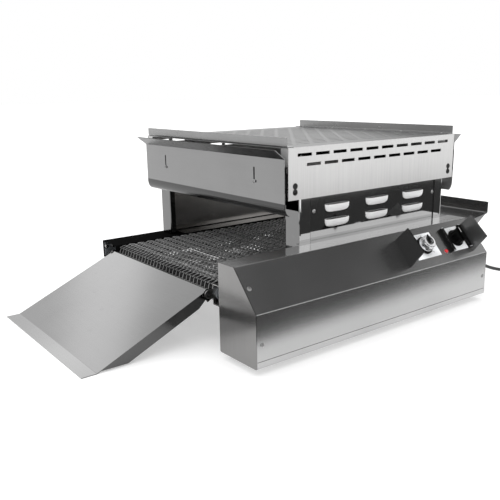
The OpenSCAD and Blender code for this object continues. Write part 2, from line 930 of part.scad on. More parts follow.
cord_y = 50;
gland_l = 36;
gland_r = 7;
side8 = 8;
side6 = 6;
coil_step = cord_d + 0.8;
layer_step = cord_d + 0.8;
coil_out = coil_r + coil_step * coil_turns / 4;
coil_z = cord_d / 2 + 1;
coil_n = coil_turns * 24;

// Route of the free cord, counted from the gland's seat on the box and from the coil's height
route = [[gland_l, 0, 65], [gland_l + 10, 0, 65], [64, -2, 60], [82, -6, 52], [102, -13, 45], [122, -22, 40],
    [142, -33, 36], [162, -45, 31], [182, -57, 24], [202, -67, 15], [220, -74, 7], [234, -77, 2],
    [242, -78, 0], [250, -78, 0]];
cord_z = coil_z + route[0][2];
cord_route = [for (p = route) p + [box_l, cord_y, coil_z]];
coil_in = cord_route[len(route) - 1];
coil_c = [coil_in[0] + cord_d, coil_in[1] + coil_out, 0];

// The spiral runs in at a steady rate, climbs in the half turn where it reverses, and runs out
function coil_rad(t) = coil_out - coil_step * min(t, coil_turns - t);
function climb(t) = max(0, min(1, (t - coil_turns / 2 + 0.25) * 2));
function lift(t) = climb(t) * climb(t) * (3 - 2 * climb(t));
function coil_pt(t) = coil_c + [coil_rad(t) * sin(360 * t), -coil_rad(t) * cos(360 * t),
    coil_z + layer_step * lift(t)];
coil_path = [for (i = [0:coil_n]) coil_pt(i / 24)];
tail_dir = unit(coil_path[coil_n] - coil_path[coil_n - 1]);
tail_u = unit([tail_dir[0], tail_dir[1], 0]);
coil_ends = concat([coil_in], coil_path, [coil_path[coil_n] + tail_u * cord_d]);
tail_a = coil_ends[len(coil_ends) - 1];
tail_drop = tail_a[2] - 18;
tail_route = [for (i = [0:6]) tail_a + tail_u * i * 15 - [0, 0, tail_drop * (1 - cos(i * 30)) / 2]];
plug_at = tail_route[6];

function far_gap(p, i) = min([for (j = [i + 13:len(p) - 1]) norm(p[i] - p[j])]);
coil_gap = min([for (i = [0:coil_n - 14]) far_gap(coil_path, i)]) - cord_d;
echo("least gap of the coil to itself", coil_gap);

function ahead(p, i) = unit(p[min(i + 1, len(p) - 1)] - p[min(i, len(p) - 2)]);
function behind(p, i) = unit(p[max(i, 1)] - p[max(i - 1, 0)]);
function tangent(p, i) = unit(ahead(p, i) + behind(p, i));
function ring(p, t, r, n) = let (s = unit(cross(t, [0, 0, 1])), u = cross(s, t))
    [for (k = [0:n - 1]) p + r * (cos(360 * k / n + 90) * s + sin(360 * k / n + 90) * u)];

module tube(p, r, n) {
    pts = [for (i = [0:len(p) - 1]) each ring(p[i], tangent(p, i), r, n)];
    m = len(p);
    sides = [for (i = [0:m - 2]) for (k = [0:n - 1]) each [
        [i * n + k, i * n + (k + 1) % n, (i + 1) * n + k],
        [i * n + (k + 1) % n, (i + 1) * n + (k + 1) % n, (i + 1) * n + k]]];
    caps = [for (k = [1:n - 2]) each [[0, k + 1, k], [(m - 1) * n, (m - 1) * n + k, (m - 1) * n + k + 1]]];
    polyhedron(points = pts, faces = concat(sides, caps));
}

module cord_gland() {
    color("black") place() translate([box_l, cord_y, cord_z]) rotate([0, 90, 0]) union() {
        translate([0, 0, -8]) cylinder(r = gland_r, h = 8);
        cylinder(r = 11, h = 5);
        translate([0, 0, 5]) cylinder(r1 = 8.5, r2 = cord_d / 2 + 1, h = gland_l - 5);
    }
}

module cord() {
    color("black") place() tube(cord_route, cord_d / 2, side8);
}

module cord_coil() {
    color("black") place() tube(coil_ends, cord_d / 2, side6);
}

module cord_tail() {
    color("black") place() tube(tail_route, cord_d / 2, side8);
}

module cord_tie() {
    reach = 1.2;
    inner = coil_out - coil_step * coil_turns / 2 - cord_d / 2 - reach;
    outer = coil_out + cord_d / 2 + reach;
    deep = layer_step + cord_d + 1.2;
    color("dimgray") place() translate(coil_c) rotate([0, 0, 180]) difference() {
        translate([-4, -outer - 0.9, 0.05]) cube([8, outer - inner + 1.8, deep + 1]);
        translate([-5, -outer, 0.85]) cube([10, outer - inner, deep - 0.6]);
    }
}

module plug() {
    body = [[0, 0], [cord_d / 2 + 1, 0], [cord_d / 2 + 2, 14], [11, 22], [17, 34], [18, 50], [0, 50]];
    color("black") place() translate(plug_at) rotate([0, 90, atan2(tail_u[1], tail_u[0])]) union() {
        rotate_extrude() polygon(body);
        for (s = [-1, 1]) translate([0, s * 9.5, 50]) cylinder(r = 2.4, h = 19);
    }
}

rail_near();
rail_far();
cross_ties();
belt_skids();
belt_top_run();
belt_return_run();
belt_front_wrap();
belt_rear_wrap();
drive_drum();
idler_drum();
drum_bearings();
low_heaters();
leg_front();
leg_rear();
rubber_feet();
box_tray();
box_cover();
box_end_left();
box_end_right();
gear_motor();
speed_controller();
thermostat();
terminal_block();
speed_dial();
heat_dial();
speed_knob();
heat_knob();
pilot_lamp();
guard_left();
guard_right();
post_front_near();
post_front_far();
post_rear_near();
post_rear_far();
wall_near();
wall_far();
panel_near();
panel_far();
top_plate();
upstand_front();
upstand_rear();
beam_front();
beam_rear();
flap_front();
flap_rear();
flap_screws();
reflector();
heater_bars();
heaters();
chute_rod();
infeed_rod();
stop_rod();
discharge_chute();
infeed_tray();
cord_gland();
cord();
cord_coil();
cord_tail();
cord_tie();
plug();
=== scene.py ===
"""Looks of a countertop conveyor grill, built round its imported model.

Sizes are in millimetres of the machine's own frame: X runs along the belt from the left end of the
control box, Y runs away from the front of that box and Z is the height above the table. Bench turns
them into metres of the row frame.
"""

from __future__ import annotations

import json
import logging
import math
from dataclasses import dataclass, field
from enum import Enum
from itertools import product
from typing import Callable, Iterable, Iterator, Sequence, Union

import bpy
import numpy as np
from mathutils import Matrix, Vector

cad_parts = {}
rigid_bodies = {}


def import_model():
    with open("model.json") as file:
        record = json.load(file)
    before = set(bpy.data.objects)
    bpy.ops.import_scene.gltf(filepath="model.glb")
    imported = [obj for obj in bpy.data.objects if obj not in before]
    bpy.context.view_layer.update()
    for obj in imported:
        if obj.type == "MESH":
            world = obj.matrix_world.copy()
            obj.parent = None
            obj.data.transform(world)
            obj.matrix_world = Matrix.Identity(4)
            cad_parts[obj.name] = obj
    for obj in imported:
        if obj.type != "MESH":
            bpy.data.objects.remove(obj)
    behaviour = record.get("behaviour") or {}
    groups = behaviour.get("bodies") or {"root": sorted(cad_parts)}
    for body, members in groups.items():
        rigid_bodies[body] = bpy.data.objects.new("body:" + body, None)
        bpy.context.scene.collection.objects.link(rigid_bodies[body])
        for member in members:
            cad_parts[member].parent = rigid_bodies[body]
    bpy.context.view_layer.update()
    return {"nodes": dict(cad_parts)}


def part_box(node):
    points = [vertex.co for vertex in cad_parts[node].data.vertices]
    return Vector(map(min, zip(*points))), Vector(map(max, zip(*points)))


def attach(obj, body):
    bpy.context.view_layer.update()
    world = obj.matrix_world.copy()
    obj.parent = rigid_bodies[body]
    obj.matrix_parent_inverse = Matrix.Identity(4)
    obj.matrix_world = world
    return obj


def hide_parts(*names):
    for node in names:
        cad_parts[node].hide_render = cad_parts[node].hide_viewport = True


LOG = logging.getLogger("conveyor_grill")
Point = Sequence[float]
Pair = tuple[float, float]
Triple = tuple[float, float, float]
Pairs = Sequence[Pair]
Spots = tuple[Point, float, Point]
Colour = Triple
Flute = Callable[[np.ndarray, float], np.ndarray]
Sockets = dict[str, object]
SIDES = (-1, 1)
UP = (0, 0, 1)


class Body(Enum):
    """Moving groups of the machine."""

    FRAME = "frame"
    SPEED = "speed_control"
    HEAT = "heat_control"


class Slot(Enum):
    """Material slots of the record. New pieces are handed one, which this script doesn't use."""

    BRIGHT = "steel_bright"
    SATIN = "steel_satin"
    DARK = "steel_dark"
    BELT = "belt_wire"
    DIAL = "dial_white"
    CHROME = "knob_chrome"
    BLACK = "knob_black"
    LAMP = "lamp_red"
    CORD = "cord_rubber"
    TIE = "tie_plastic"
    UNIT = "unit_plastic"


class Grain(Enum):
    """Direction in which a sheet was brushed, as stretches of the streaks along X, Y and Z."""

    ALONG = (5.0, 620.0, 620.0)
    ACROSS = (620.0, 5.0, 620.0)
    UPRIGHT = (620.0, 620.0, 5.0)


class Side(Enum):
    """Faces of a sheet that are painted darker, as painted shade: their axis, the least share along it and
    its sign.

    Without a sign the share is squared, and faces that look either way are painted dark.
    """

    NONE = ("", 0.0, 0.0)
    ENDS = ("X", 0.5, 0.0)
    SIDES = ("Y", 0.5, 0.0)
    CURLS = ("Z", 0.01, 0.0)
    NEAR = ("Y", 0.5, -1.0)
    INNER = ("Y", -0.5, -1.0)


class Sock:
    """A value in a shader. Sums written with it add Math nodes."""

    def __init__(self, graph: Graph, socket: bpy.types.NodeSocket) -> None:
        """Keeps the graph and the socket that carries the value."""
        self.graph, self.socket = graph, socket

    def _sum(self, operation: str, first: Value, second: Value) -> Sock:
        """Returns the result of one Math node on two values."""
        return self.graph.add("ShaderNodeMath", {"operation": operation}, {0: first, 1: second})

    def __add__(self, other: Value) -> Sock:
        """Sum of both values."""
        return self._sum("ADD", self, other)

    def __radd__(self, other: Value) -> Sock:
        """Sum with the other value on the left."""
        return self._sum("ADD", other, self)

    def __sub__(self, other: Value) -> Sock:
        """Difference of both values."""
        return self._sum("SUBTRACT", self, other)

    def __rsub__(self, other: Value) -> Sock:
        """Difference with the other value on the left."""
        return self._sum("SUBTRACT", other, self)

    def __mul__(self, other: Value) -> Sock:
        """Product of both values."""
        return self._sum("MULTIPLY", self, other)

    def __rmul__(self, other: Value) -> Sock:
        """Product with the other value on the left."""
        return self._sum("MULTIPLY", other, self)

    def above(self, edge: float, soft: float) -> Sock:
        """Returns a soft step, 0 up to an edge and 1 from a width beyond it."""
        ends = {"Value": self, "From Min": edge, "From Max": edge + soft}
        return self.graph.add("ShaderNodeMapRange", {"interpolation_type": "SMOOTHSTEP"}, ends)


Value = Union[Sock, float]


class Graph:
    """The nodes of one material or of the world."""

    def __init__(self, tree: bpy.types.NodeTree) -> None:
        """Keeps the node tree."""
        self.tree = tree

    def add(
        self,
        kind: str,
        settings: dict[str, object] | None = None,
        sockets: dict[Union[int, str], object] | None = None,
        out: Union[int, str] = 0,
    ) -> Sock:
        """Adds any node.

        Args:
            kind: Blender's name of the node type.
            settings: Properties of the node, set first.
            sockets: Values or links of its inputs.
            out: Output that is wanted.

        Returns:
            That output.
        """
        node = self.tree.nodes.new(kind)
        for name, value in (settings or {}).items():
            setattr(node, name, value)
        for key, value in (sockets or {}).items():
            self.put(node.inputs[key], value)
        return Sock(self, node.outputs[out])

    def put(self, socket: bpy.types.NodeSocket, value: object) -> None:
        """Fills a socket.

        Args:
            socket: Input of a node.
            value: Shader value that is linked to it, or the socket's own value.
        """
        if isinstance(value, Sock):
            self.tree.links.new(value.socket, socket)
        else:
            socket.default_value = value

    def mix(self, share: Sock, low: object, high: object) -> Sock:
        """Returns the colour at a share of the way from one colour to another."""
        ends = [c if isinstance(c, Sock) else (*c, 1.0) for c in (low, high)]
        return self.add("ShaderNodeMix", {"data_type": "RGBA"}, {0: share, 6: ends[0], 7: ends[1]}, 2)

    def noise(self, where: Sock, scale: float, detail: float) -> Sock:
        """Returns a cloudy value about one half, at a number of features per metre."""
        sockets = {"Vector": where, "Scale": scale, "Detail": detail}
        return self.add("ShaderNodeTexNoise", {}, sockets)

    def place(self) -> Sock:
        """Returns the point of the surface in the row frame."""
        return self.add("ShaderNodeTexCoord", out="Object")

    def stretched(self, factors: Point) -> Sock:
        """Returns the point of the surface, stretched along X, Y and Z."""
        return self.add("ShaderNodeMapping", {}, {"Vector": self.place(), "Scale": factors})

    def along(self, vector: Sock, axis: str) -> Sock:
        """Returns the part of a vector along X, Y or Z."""
        return self.add("ShaderNodeSeparateXYZ", {}, {0: vector}, axis)

    def facing(self, axis: str) -> Sock:
        """Returns the share of a face's outward direction along X, Y or Z."""
        return self.along(self.add("ShaderNodeNewGeometry", out="Normal"), axis)

    def relief(self, height: Sock, depth: float, strength: float) -> Sock:
        """Returns the normal of a relief, some millimetres deep, of which a share shows."""
        sockets = {"Height": height, "Distance": depth / 1000, "Strength": strength}
        return self.add("ShaderNodeBump", {}, sockets)


def grey(value: float, warm: float = 0.0) -> Colour:
    """Returns a grey, with red raised and blue lowered by a share."""
    return (value * (1 + warm), value, value * (1 - warm))


@dataclass(frozen=True)
class Finish:
    """A surface with a colour and a gloss. Each kind paints its own nodes."""

    name: str
    tint: Colour
    rough: float

    def material(self) -> bpy.types.Material:
        """Makes the material at its first use.

        Returns:
            The Blender material.
        """
        made = bpy.data.materials.get(self.name)
        if made is None:
            made = bpy.data.materials.new(self.name)
            made.use_nodes = True
            graph = Graph(made.node_tree)
            shader = made.node_tree.nodes["Principled BSDF"]
            for name, value in self.paint(graph).items():
                graph.put(shader.inputs[name], value)
        return made

    def paint(self, graph: Graph) -> Sockets:
        """Returns the values or links of the shader's sockets."""
        raise NotImplementedError

    def shade(self, factor: float) -> Colour:
        """Returns the tint, darker or lighter by a factor."""
        r, g, b = self.tint
        return (r * factor, g * factor, b * factor)

    def dress(self, obj: bpy.types.Object) -> None:
        """Gives an object this finish."""
        obj.data.materials.clear()
        obj.data.materials.append(self.material())


@dataclass(frozen=True)
class BrushedSheet(Finish):
    """Stainless sheet with brushed streaks, cloudy handling marks and a few scuffs.

    It can be painted lighter where it faces up, as painted light, and darker on some faces and below a
    height in metres, as painted shade.
    """

    grain: Grain = Grain.ALONG
    streak: float = 0.2
    cloud: float = 0.3
    scuff: float = 0.2
    top_light: float = 0.0
    edge: float = 1.0
    shaded_faces: Side = Side.NONE
    shade_below: float = 0.0
    dark: float = 0.3
    matt: float = 0.0
    shine: float = 0.5

    def paint(self, graph: Graph) -> Sockets:
        """Paints brushed steel.

        Args:
            graph: Nodes of the material.

        Returns:
            The shader's sockets.
        """
        where = graph.place()
        streaks = graph.noise(graph.stretched(self.grain.value), 1.0, 4.0)
        clouds = graph.noise(where, 6.0, 3.0)
        scuffs = graph.noise(where, 42.0, 6.0).above(0.62, 0.1)
        shade = (streaks - 0.5) * (self.streak * 2) + (clouds - 0.5) * (self.cloud * 2) + 0.5
        colour = graph.mix(shade.above(0.0, 1.0), self.shade(0.8), self.shade(1.16))
        rough = (streaks - 0.5) * (0.2 * self.streak) + (clouds - 0.5) * 0.03
        rough = rough + scuffs * (0.1 * self.scuff)
        metal = 1.0 - self.matt
        # Faces that look along the chosen axis are painted darker: painted shade.
        if self.shaded_faces is not Side.NONE:
            axis, share, sign = self.shaded_faces.value
            way = graph.facing(axis)
            shaded_faces = (way * (sign or way)).above(share, 0.3)
            colour = graph.mix(shaded_faces, colour, self.shade(self.dark))
        # Below a height in metres the sheet is painted darker: painted shade.
        if self.shade_below:
            free_of_soot_and_shade = graph.along(where, "Z").above(self.shade_below, 0.001)
            colour = graph.mix(free_of_soot_and_shade, self.shade(self.dark), colour)
        # Faces that look up are painted lighter, as painted light from above, and made less metallic and
        # smoother.
        if self.top_light:
            flat = graph.facing("Z").above(0.85, 0.1) * self.top_light
            metal = metal - flat * (0.12 - graph.along(where, "X").above(-0.38, 0.2) * 0.09)
            rough = rough - flat * 0.14
            colour = graph.mix(flat, colour, grey(0.8))
        return {
            "Base Color": graph.mix(scuffs * (0.3 * self.scuff), colour, self.shade(0.72)),
            "Metallic": metal,
            "Roughness": rough + self.rough,
            "Specular IOR Level": self.shine,
            "Specular Tint": (self.edge, self.edge, self.edge, 1.0),
            "Normal": graph.relief(streaks, 0.02, 0.2 * self.streak),
        }


@dataclass(frozen=True)
class DrawnWire(Finish):
    """Bright or oxidised round wire and bar, with soot in patches."""

    soot: float
    matt: float = 0.0

    def paint(self, graph: Graph) -> Sockets:
        """Paints drawn steel.

        Args:
            graph: Nodes of the material.

        Returns:
            The shader's sockets.
        """
        where = graph.place()
        patches = graph.noise(where, 11.0, 4.0).above(0.42, 0.22)
        specks = graph.noise(where, 260.0, 2.0)
        free_of_soot_and_shade = graph.mix(specks, self.shade(0.75), self.shade(1.25))
        return {
            "Base Color": graph.mix(patches * self.soot, free_of_soot_and_shade, self.shade(0.35)),
            "Metallic": 1.0 - self.matt,
            "Roughness": patches * (0.16 * self.soot) + (specks - 0.5) * 0.2 + self.rough,
            "Normal": graph.relief(specks, 0.05, 0.2),
        }


@dataclass(frozen=True)
class Coat(Finish):
    """Sprayed paint with a fine orange peel, rubbed in places."""

    metal: float
    gloss: float

    def paint(self, graph: Graph) -> Sockets:
        """Paints a sprayed coat.

        Args:
            graph: Nodes of the material.

        Returns:
            The shader's sockets.
        """
        where = graph.place()
        peel = graph.noise(where, 380.0, 2.0)
        worn = graph.noise(where, 16.0, 5.0)
        return {
            "Base Color": graph.mix(worn.above(0.3, 0.45), self.shade(0.8), self.shade(1.3)),
            "Metallic": self.metal,
            "Roughness": (worn - 0.5) * 0.18 + self.rough,
            "Coat Weight": self.gloss,
            "Normal": graph.relief(peel, 0.06, 0.25),
        }


@dataclass(frozen=True)
class Moulded(Finish):
    """Moulded plastic, rubber or ceramic with a spark-eroded texture and dust."""

    texture: float
    depth: float
    dust: float
    shine: float = 0.5

    def paint(self, graph: Graph) -> Sockets:
        """Paints a moulding.

        Args:
            graph: Nodes of the material.

        Returns:
            The shader's sockets.
        """
        where = graph.place()
        grain = graph.noise(where, self.texture, 2.0)
        film = graph.noise(where, 23.0, 4.0).above(0.45, 0.3)
        pale = tuple(min(1.0, c * 1.2 + 0.015) for c in self.tint)
        return {
            "Base Color": graph.mix(film * self.dust, self.tint, pale),
            "Roughness": film * (0.25 * self.dust) + (grain - 0.5) * 0.14 + self.rough,
            "Specular IOR Level": self.shine,
            "Normal": graph.relief(grain, self.depth, 0.35),
        }


@dataclass(frozen=True)
class Paper(Finish):
    """Matt paper or felt with fine fibres, for the studio, lit through from below where it glows."""

    glow: float = 0.0

    def paint(self, graph: Graph) -> Sockets:
        """Paints a matt sheet.

        Args:
            graph: Nodes of the material.

        Returns:
            The shader's sockets.
        """
        fibres = graph.noise(graph.place(), 900.0, 2.0)
        return {
            "Base Color": graph.mix(fibres, self.shade(0.98), self.shade(1.02)),
            "Roughness": self.rough,
            "Specular IOR Level": 0.0,
            "Emission Color": (1.0, 1.0, 1.0, 1.0),
            "Emission Strength": self.glow,
            "Normal": graph.relief(fibres, 0.02, 0.1),
        }


@dataclass(frozen=True)
class Lens(Finish):
    """Clear coloured lamp lens with faint inner facets."""

    glow: float

    def paint(self, graph: Graph) -> Sockets:
        """Paints a lamp lens.

        Args:
            graph: Nodes of the material.

        Returns:
            The shader's sockets.
        """
        facets = graph.noise(graph.place(), 700.0, 1.0)
        bright = graph.mix(facets, self.shade(0.55), self.shade(1.2))
        return {
            "Base Color": bright,
            "Roughness": (facets - 0.5) * 0.08 + self.rough,
            "Coat Weight": 1.0,
            "Emission Color": bright,
            "Emission Strength": self.glow,
            "Normal": graph.relief(facets, 0.15, 0.3),
        }


class Paints:
    """The finishes of the machine."""

    # The cover's upward faces are painted lighter: painted light from above.
    COVER = BrushedSheet("cover_steel", grey(0.5), 0.25, Grain.ALONG, 0.08, 0.15, 0.03, top_light=0.9)
    BASE = BrushedSheet("base_steel", grey(0.52), 0.22, Grain.ALONG, 0.15)
    ENDS = BrushedSheet("end_steel", grey(0.25, 0.01), 0.16, Grain.UPRIGHT, 0.25)
    PANEL = BrushedSheet("panel_steel", grey(0.62, 0.005), 0.25, Grain.UPRIGHT, 0.3, 0.15, 0.05, matt=0.55)
    TOP = BrushedSheet("top_steel", grey(0.46), 0.34, Grain.ALONG, 0.4, 0.5, edge=0.7)
    RIM = BrushedSheet("rim_steel", grey(0.28), 0.26, Grain.ACROSS, matt=0.35)
    # The flap's curled lower edge and the band below 277 mm are painted dark: painted shade.
    FLAP = BrushedSheet(
        "flap_steel", grey(0.235), 0.24, Grain.ACROSS, 0.15, 0.2, shaded_faces=Side.CURLS, shade_below=0.277
    )
    REAR_FLAP = BrushedSheet("rear_flap_steel", grey(0.36), 0.4, Grain.ACROSS, 0.15, 0.2, matt=0.5)
    # The chute's flanges, which face along Y, are painted dark: painted shade.
    CHUTE = BrushedSheet("chute_steel", grey(0.35), 0.13, Grain.ACROSS, 0.08, 0.15, shaded_faces=Side.SIDES)
    INFEED = BrushedSheet("infeed_steel", grey(0.29), 0.2, Grain.ACROSS, 0.1, 0.2)
    # The posts' faces along X are painted darker: painted shade.
    POST = BrushedSheet("post_steel", grey(0.6), 0.05, Grain.UPRIGHT, 0.12, shaded_faces=Side.ENDS)
    # The far posts are a darker copy of the posts' steel, with their near faces darker still: painted shade.
    FAR_POST = BrushedSheet("far_post_steel", grey(0.17), 0.1, Grain.UPRIGHT, 0.12, shaded_faces=Side.NEAR)
    RAIL = BrushedSheet("rail_steel", grey(0.4, 0.01), 0.28, Grain.ALONG, 0.2, 0.4)
    # The far rail's inner faces are painted near black: painted shade.
    FAR_RAIL = BrushedSheet(
        "far_rail_steel", grey(0.42), 0.5, Grain.ALONG, 0.2, 0.4,
        shaded_faces=Side.INNER, dark=0.015, matt=1.0, shine=0.0,
    )
    WALL = BrushedSheet("wall_steel", grey(0.53), 0.05, Grain.ALONG, 0.08, 0.2)
    FAR_WALL = BrushedSheet("far_wall_steel", grey(0.3), 0.2, Grain.ALONG, 0.2, 0.5)
    LINER = BrushedSheet("liner_steel", grey(0.35, 0.03), 0.18, Grain.ALONG, 0.3, 0.8, 0.8)
    # The scoops are a pale, mostly matt copy of the wall's steel: painted light, for the bright sky on their
    # tops.
    SCOOP = BrushedSheet("scoop_steel", grey(0.95), 0.4, Grain.ALONG, 0.1, 0.1, 0.05, matt=0.75)
    # The beams are painted near black below 352 mm: painted shade.
    BEAM = BrushedSheet("beam_steel", grey(0.5), 0.3, Grain.ACROSS, 0.2, 0.4, shade_below=0.352, dark=0.03)
    HOT = BrushedSheet("heated_steel", grey(0.2, 0.05), 0.4, Grain.ACROSS, 0.3, 0.8, 0.8)
    GUARD = BrushedSheet("guard_steel", grey(0.075), 0.22, Grain.ALONG, 0.15, 0.3)
    # The right guard is a lighter copy of the left guard's steel: painted reflection.
    END_GUARD = BrushedSheet("end_guard_steel", grey(0.15), 0.25, Grain.ALONG, 0.15, 0.3, matt=0.3)
    MESH = DrawnWire("mesh_wire", grey(0.44), 0.25, 0.3, 0.5)
    MESH_DULL = DrawnWire("mesh_dull_wire", grey(0.36), 0.35, 0.5)
    # Near-black copy of the belt wire for the strands on the belt's inside: painted shade.
    MESH_UNDER = DrawnWire("mesh_under_wire", grey(0.04), 0.45, 0.6)
    MESH_ROD = DrawnWire("mesh_cross_wire", grey(0.2), 0.35, 0.5)
    JOINT = DrawnWire("mesh_joint_wire", grey(0.88), 0.4, 0.05, 0.6)
    BAR = DrawnWire("drawn_bar", grey(0.62), 0.24, 0.3)
    # The drums are painted near black: painted shade inside the belt.
    DRUM = DrawnWire("drum_steel", grey(0.025), 0.4, 0.6)
    SCREW = DrawnWire("screw_steel", grey(0.42), 0.3, 0.5)
    # Near-black screw steel for the hood's keyholes: painted shade.
    BLACK_SCREW = DrawnWire("dark_screw_steel", grey(0.06), 0.4, 0.5)
    HEATER = DrawnWire("heater_sheath", grey(0.12, 0.08), 0.5, 0.7)
    CHROME = DrawnWire("knob_chrome", grey(0.9), 0.25, 0.05, 0.9)
    PIN = DrawnWire("plug_pin", grey(0.7, 0.03), 0.2, 0.05)
    MOTOR = Coat("motor_paint", grey(0.3, -0.05), 0.45, 0.6, 0.1)
    DIAL = Coat("dial_plate", grey(0.9, -0.015), 0.3, 0.0, 0.4)
    MARK = Coat("dial_print", grey(0.012), 0.4, 0.0, 0.3)
    POINTER = Coat("pointer_print", grey(0.8), 0.35, 0.0, 0.3)
    KNOB = Moulded("knob_plastic", grey(0.002), 0.35, 900.0, 0.03, 0.02, 0.05)
    BEZEL = Moulded("bezel_plastic", grey(0.005), 0.4, 900.0, 0.03, 0.05, 0.12)
    # Near-black beads for the seams: painted shadow lines.
    SEAM_SHADE = Moulded("seam_shade_line", grey(0.02), 0.6, 500.0, 0.05, 0.2, 0.1)
    RUBBER = Moulded("foot_rubber", grey(0.03), 0.6, 500.0, 0.12, 0.4)
    JACKET = Moulded("cord_jacket", grey(0.035), 0.5, 700.0, 0.06, 0.3)
    PLUG = Moulded("plug_moulding", grey(0.025), 0.45, 800.0, 0.08, 0.3)
    TIE = Moulded("tie_plastic", grey(0.06), 0.4, 900.0, 0.04, 0.2)
    CERAMIC = Moulded("heater_ceramic", (0.72, 0.68, 0.6), 0.5, 600.0, 0.1, 0.4)
    UNIT = Moulded("unit_plastic", (0.55, 0.5, 0.4), 0.45, 700.0, 0.06, 0.3)
    BOARD = Moulded("controller_plastic", (0.1, 0.22, 0.16), 0.4, 700.0, 0.06, 0.3)
    RED = Lens("lamp_lens", (0.6, 0.006, 0.012), 0.08, 0.3)


@dataclass(frozen=True)
class Bench:
    """Where the machine's own millimetres lie in the row frame."""

    mid_x: float
    mid_y: float

    @classmethod
    def read(cls) -> Bench:
        """Returns the bench, from the control box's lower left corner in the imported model."""
        low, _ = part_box("box_end_left")
        return cls(-low.x * 1000, -low.y * 1000)

    def all(self, points: np.ndarray) -> np.ndarray:
        """Returns points in metres of the row frame."""
        return (np.asarray(points, float) - (self.mid_x, self.mid_y, 0.0)) / 1000

    def at(self, x: float, y: float, z: float) -> Vector:
        """Returns one point in metres of the row frame."""
        return Vector(self.all(np.array((x, y, z))))


def turned(origin: Point, out: Point, across: Point = (1.0, 0.0, 0.0)) -> Matrix:
    """Place of a part that stands on a face.

    Args:
        origin: Point on the face.
        out: Direction away from the face, which becomes the part's Z.
        across: Direction along the face, which becomes the part's X.

    Returns:
        The matrix from the part's own millimetres to the machine's.
    """
    z = Vector(out).normalized()
    x = Vector(across)
    x = (x - z * x.dot(z)).normalized()
    made = Matrix((x, z.cross(x), z)).transposed().to_4x4()
    made.translation = Vector(origin)
    return made


def box_outline(x0: float, y0: float, x1: float, y1: float) -> list[Pair]:
    """Returns the corners of a rectangle, counted against the clock."""
    (x0, x1), (y0, y1) = sorted((x0, x1)), sorted((y0, y1))
    return [(x0, y0), (x1, y0), (x1, y1), (x0, y1)]


def ribs(count: int, deep: float, band: Pair) -> Flute:
    """Returns the flute of a turned part with a number of ribs on a band of its rings."""
    low, high = band
    return lambda turn, share: 1 - (deep if low < share < high else 0.0) * (1 + np.cos(count * turn))


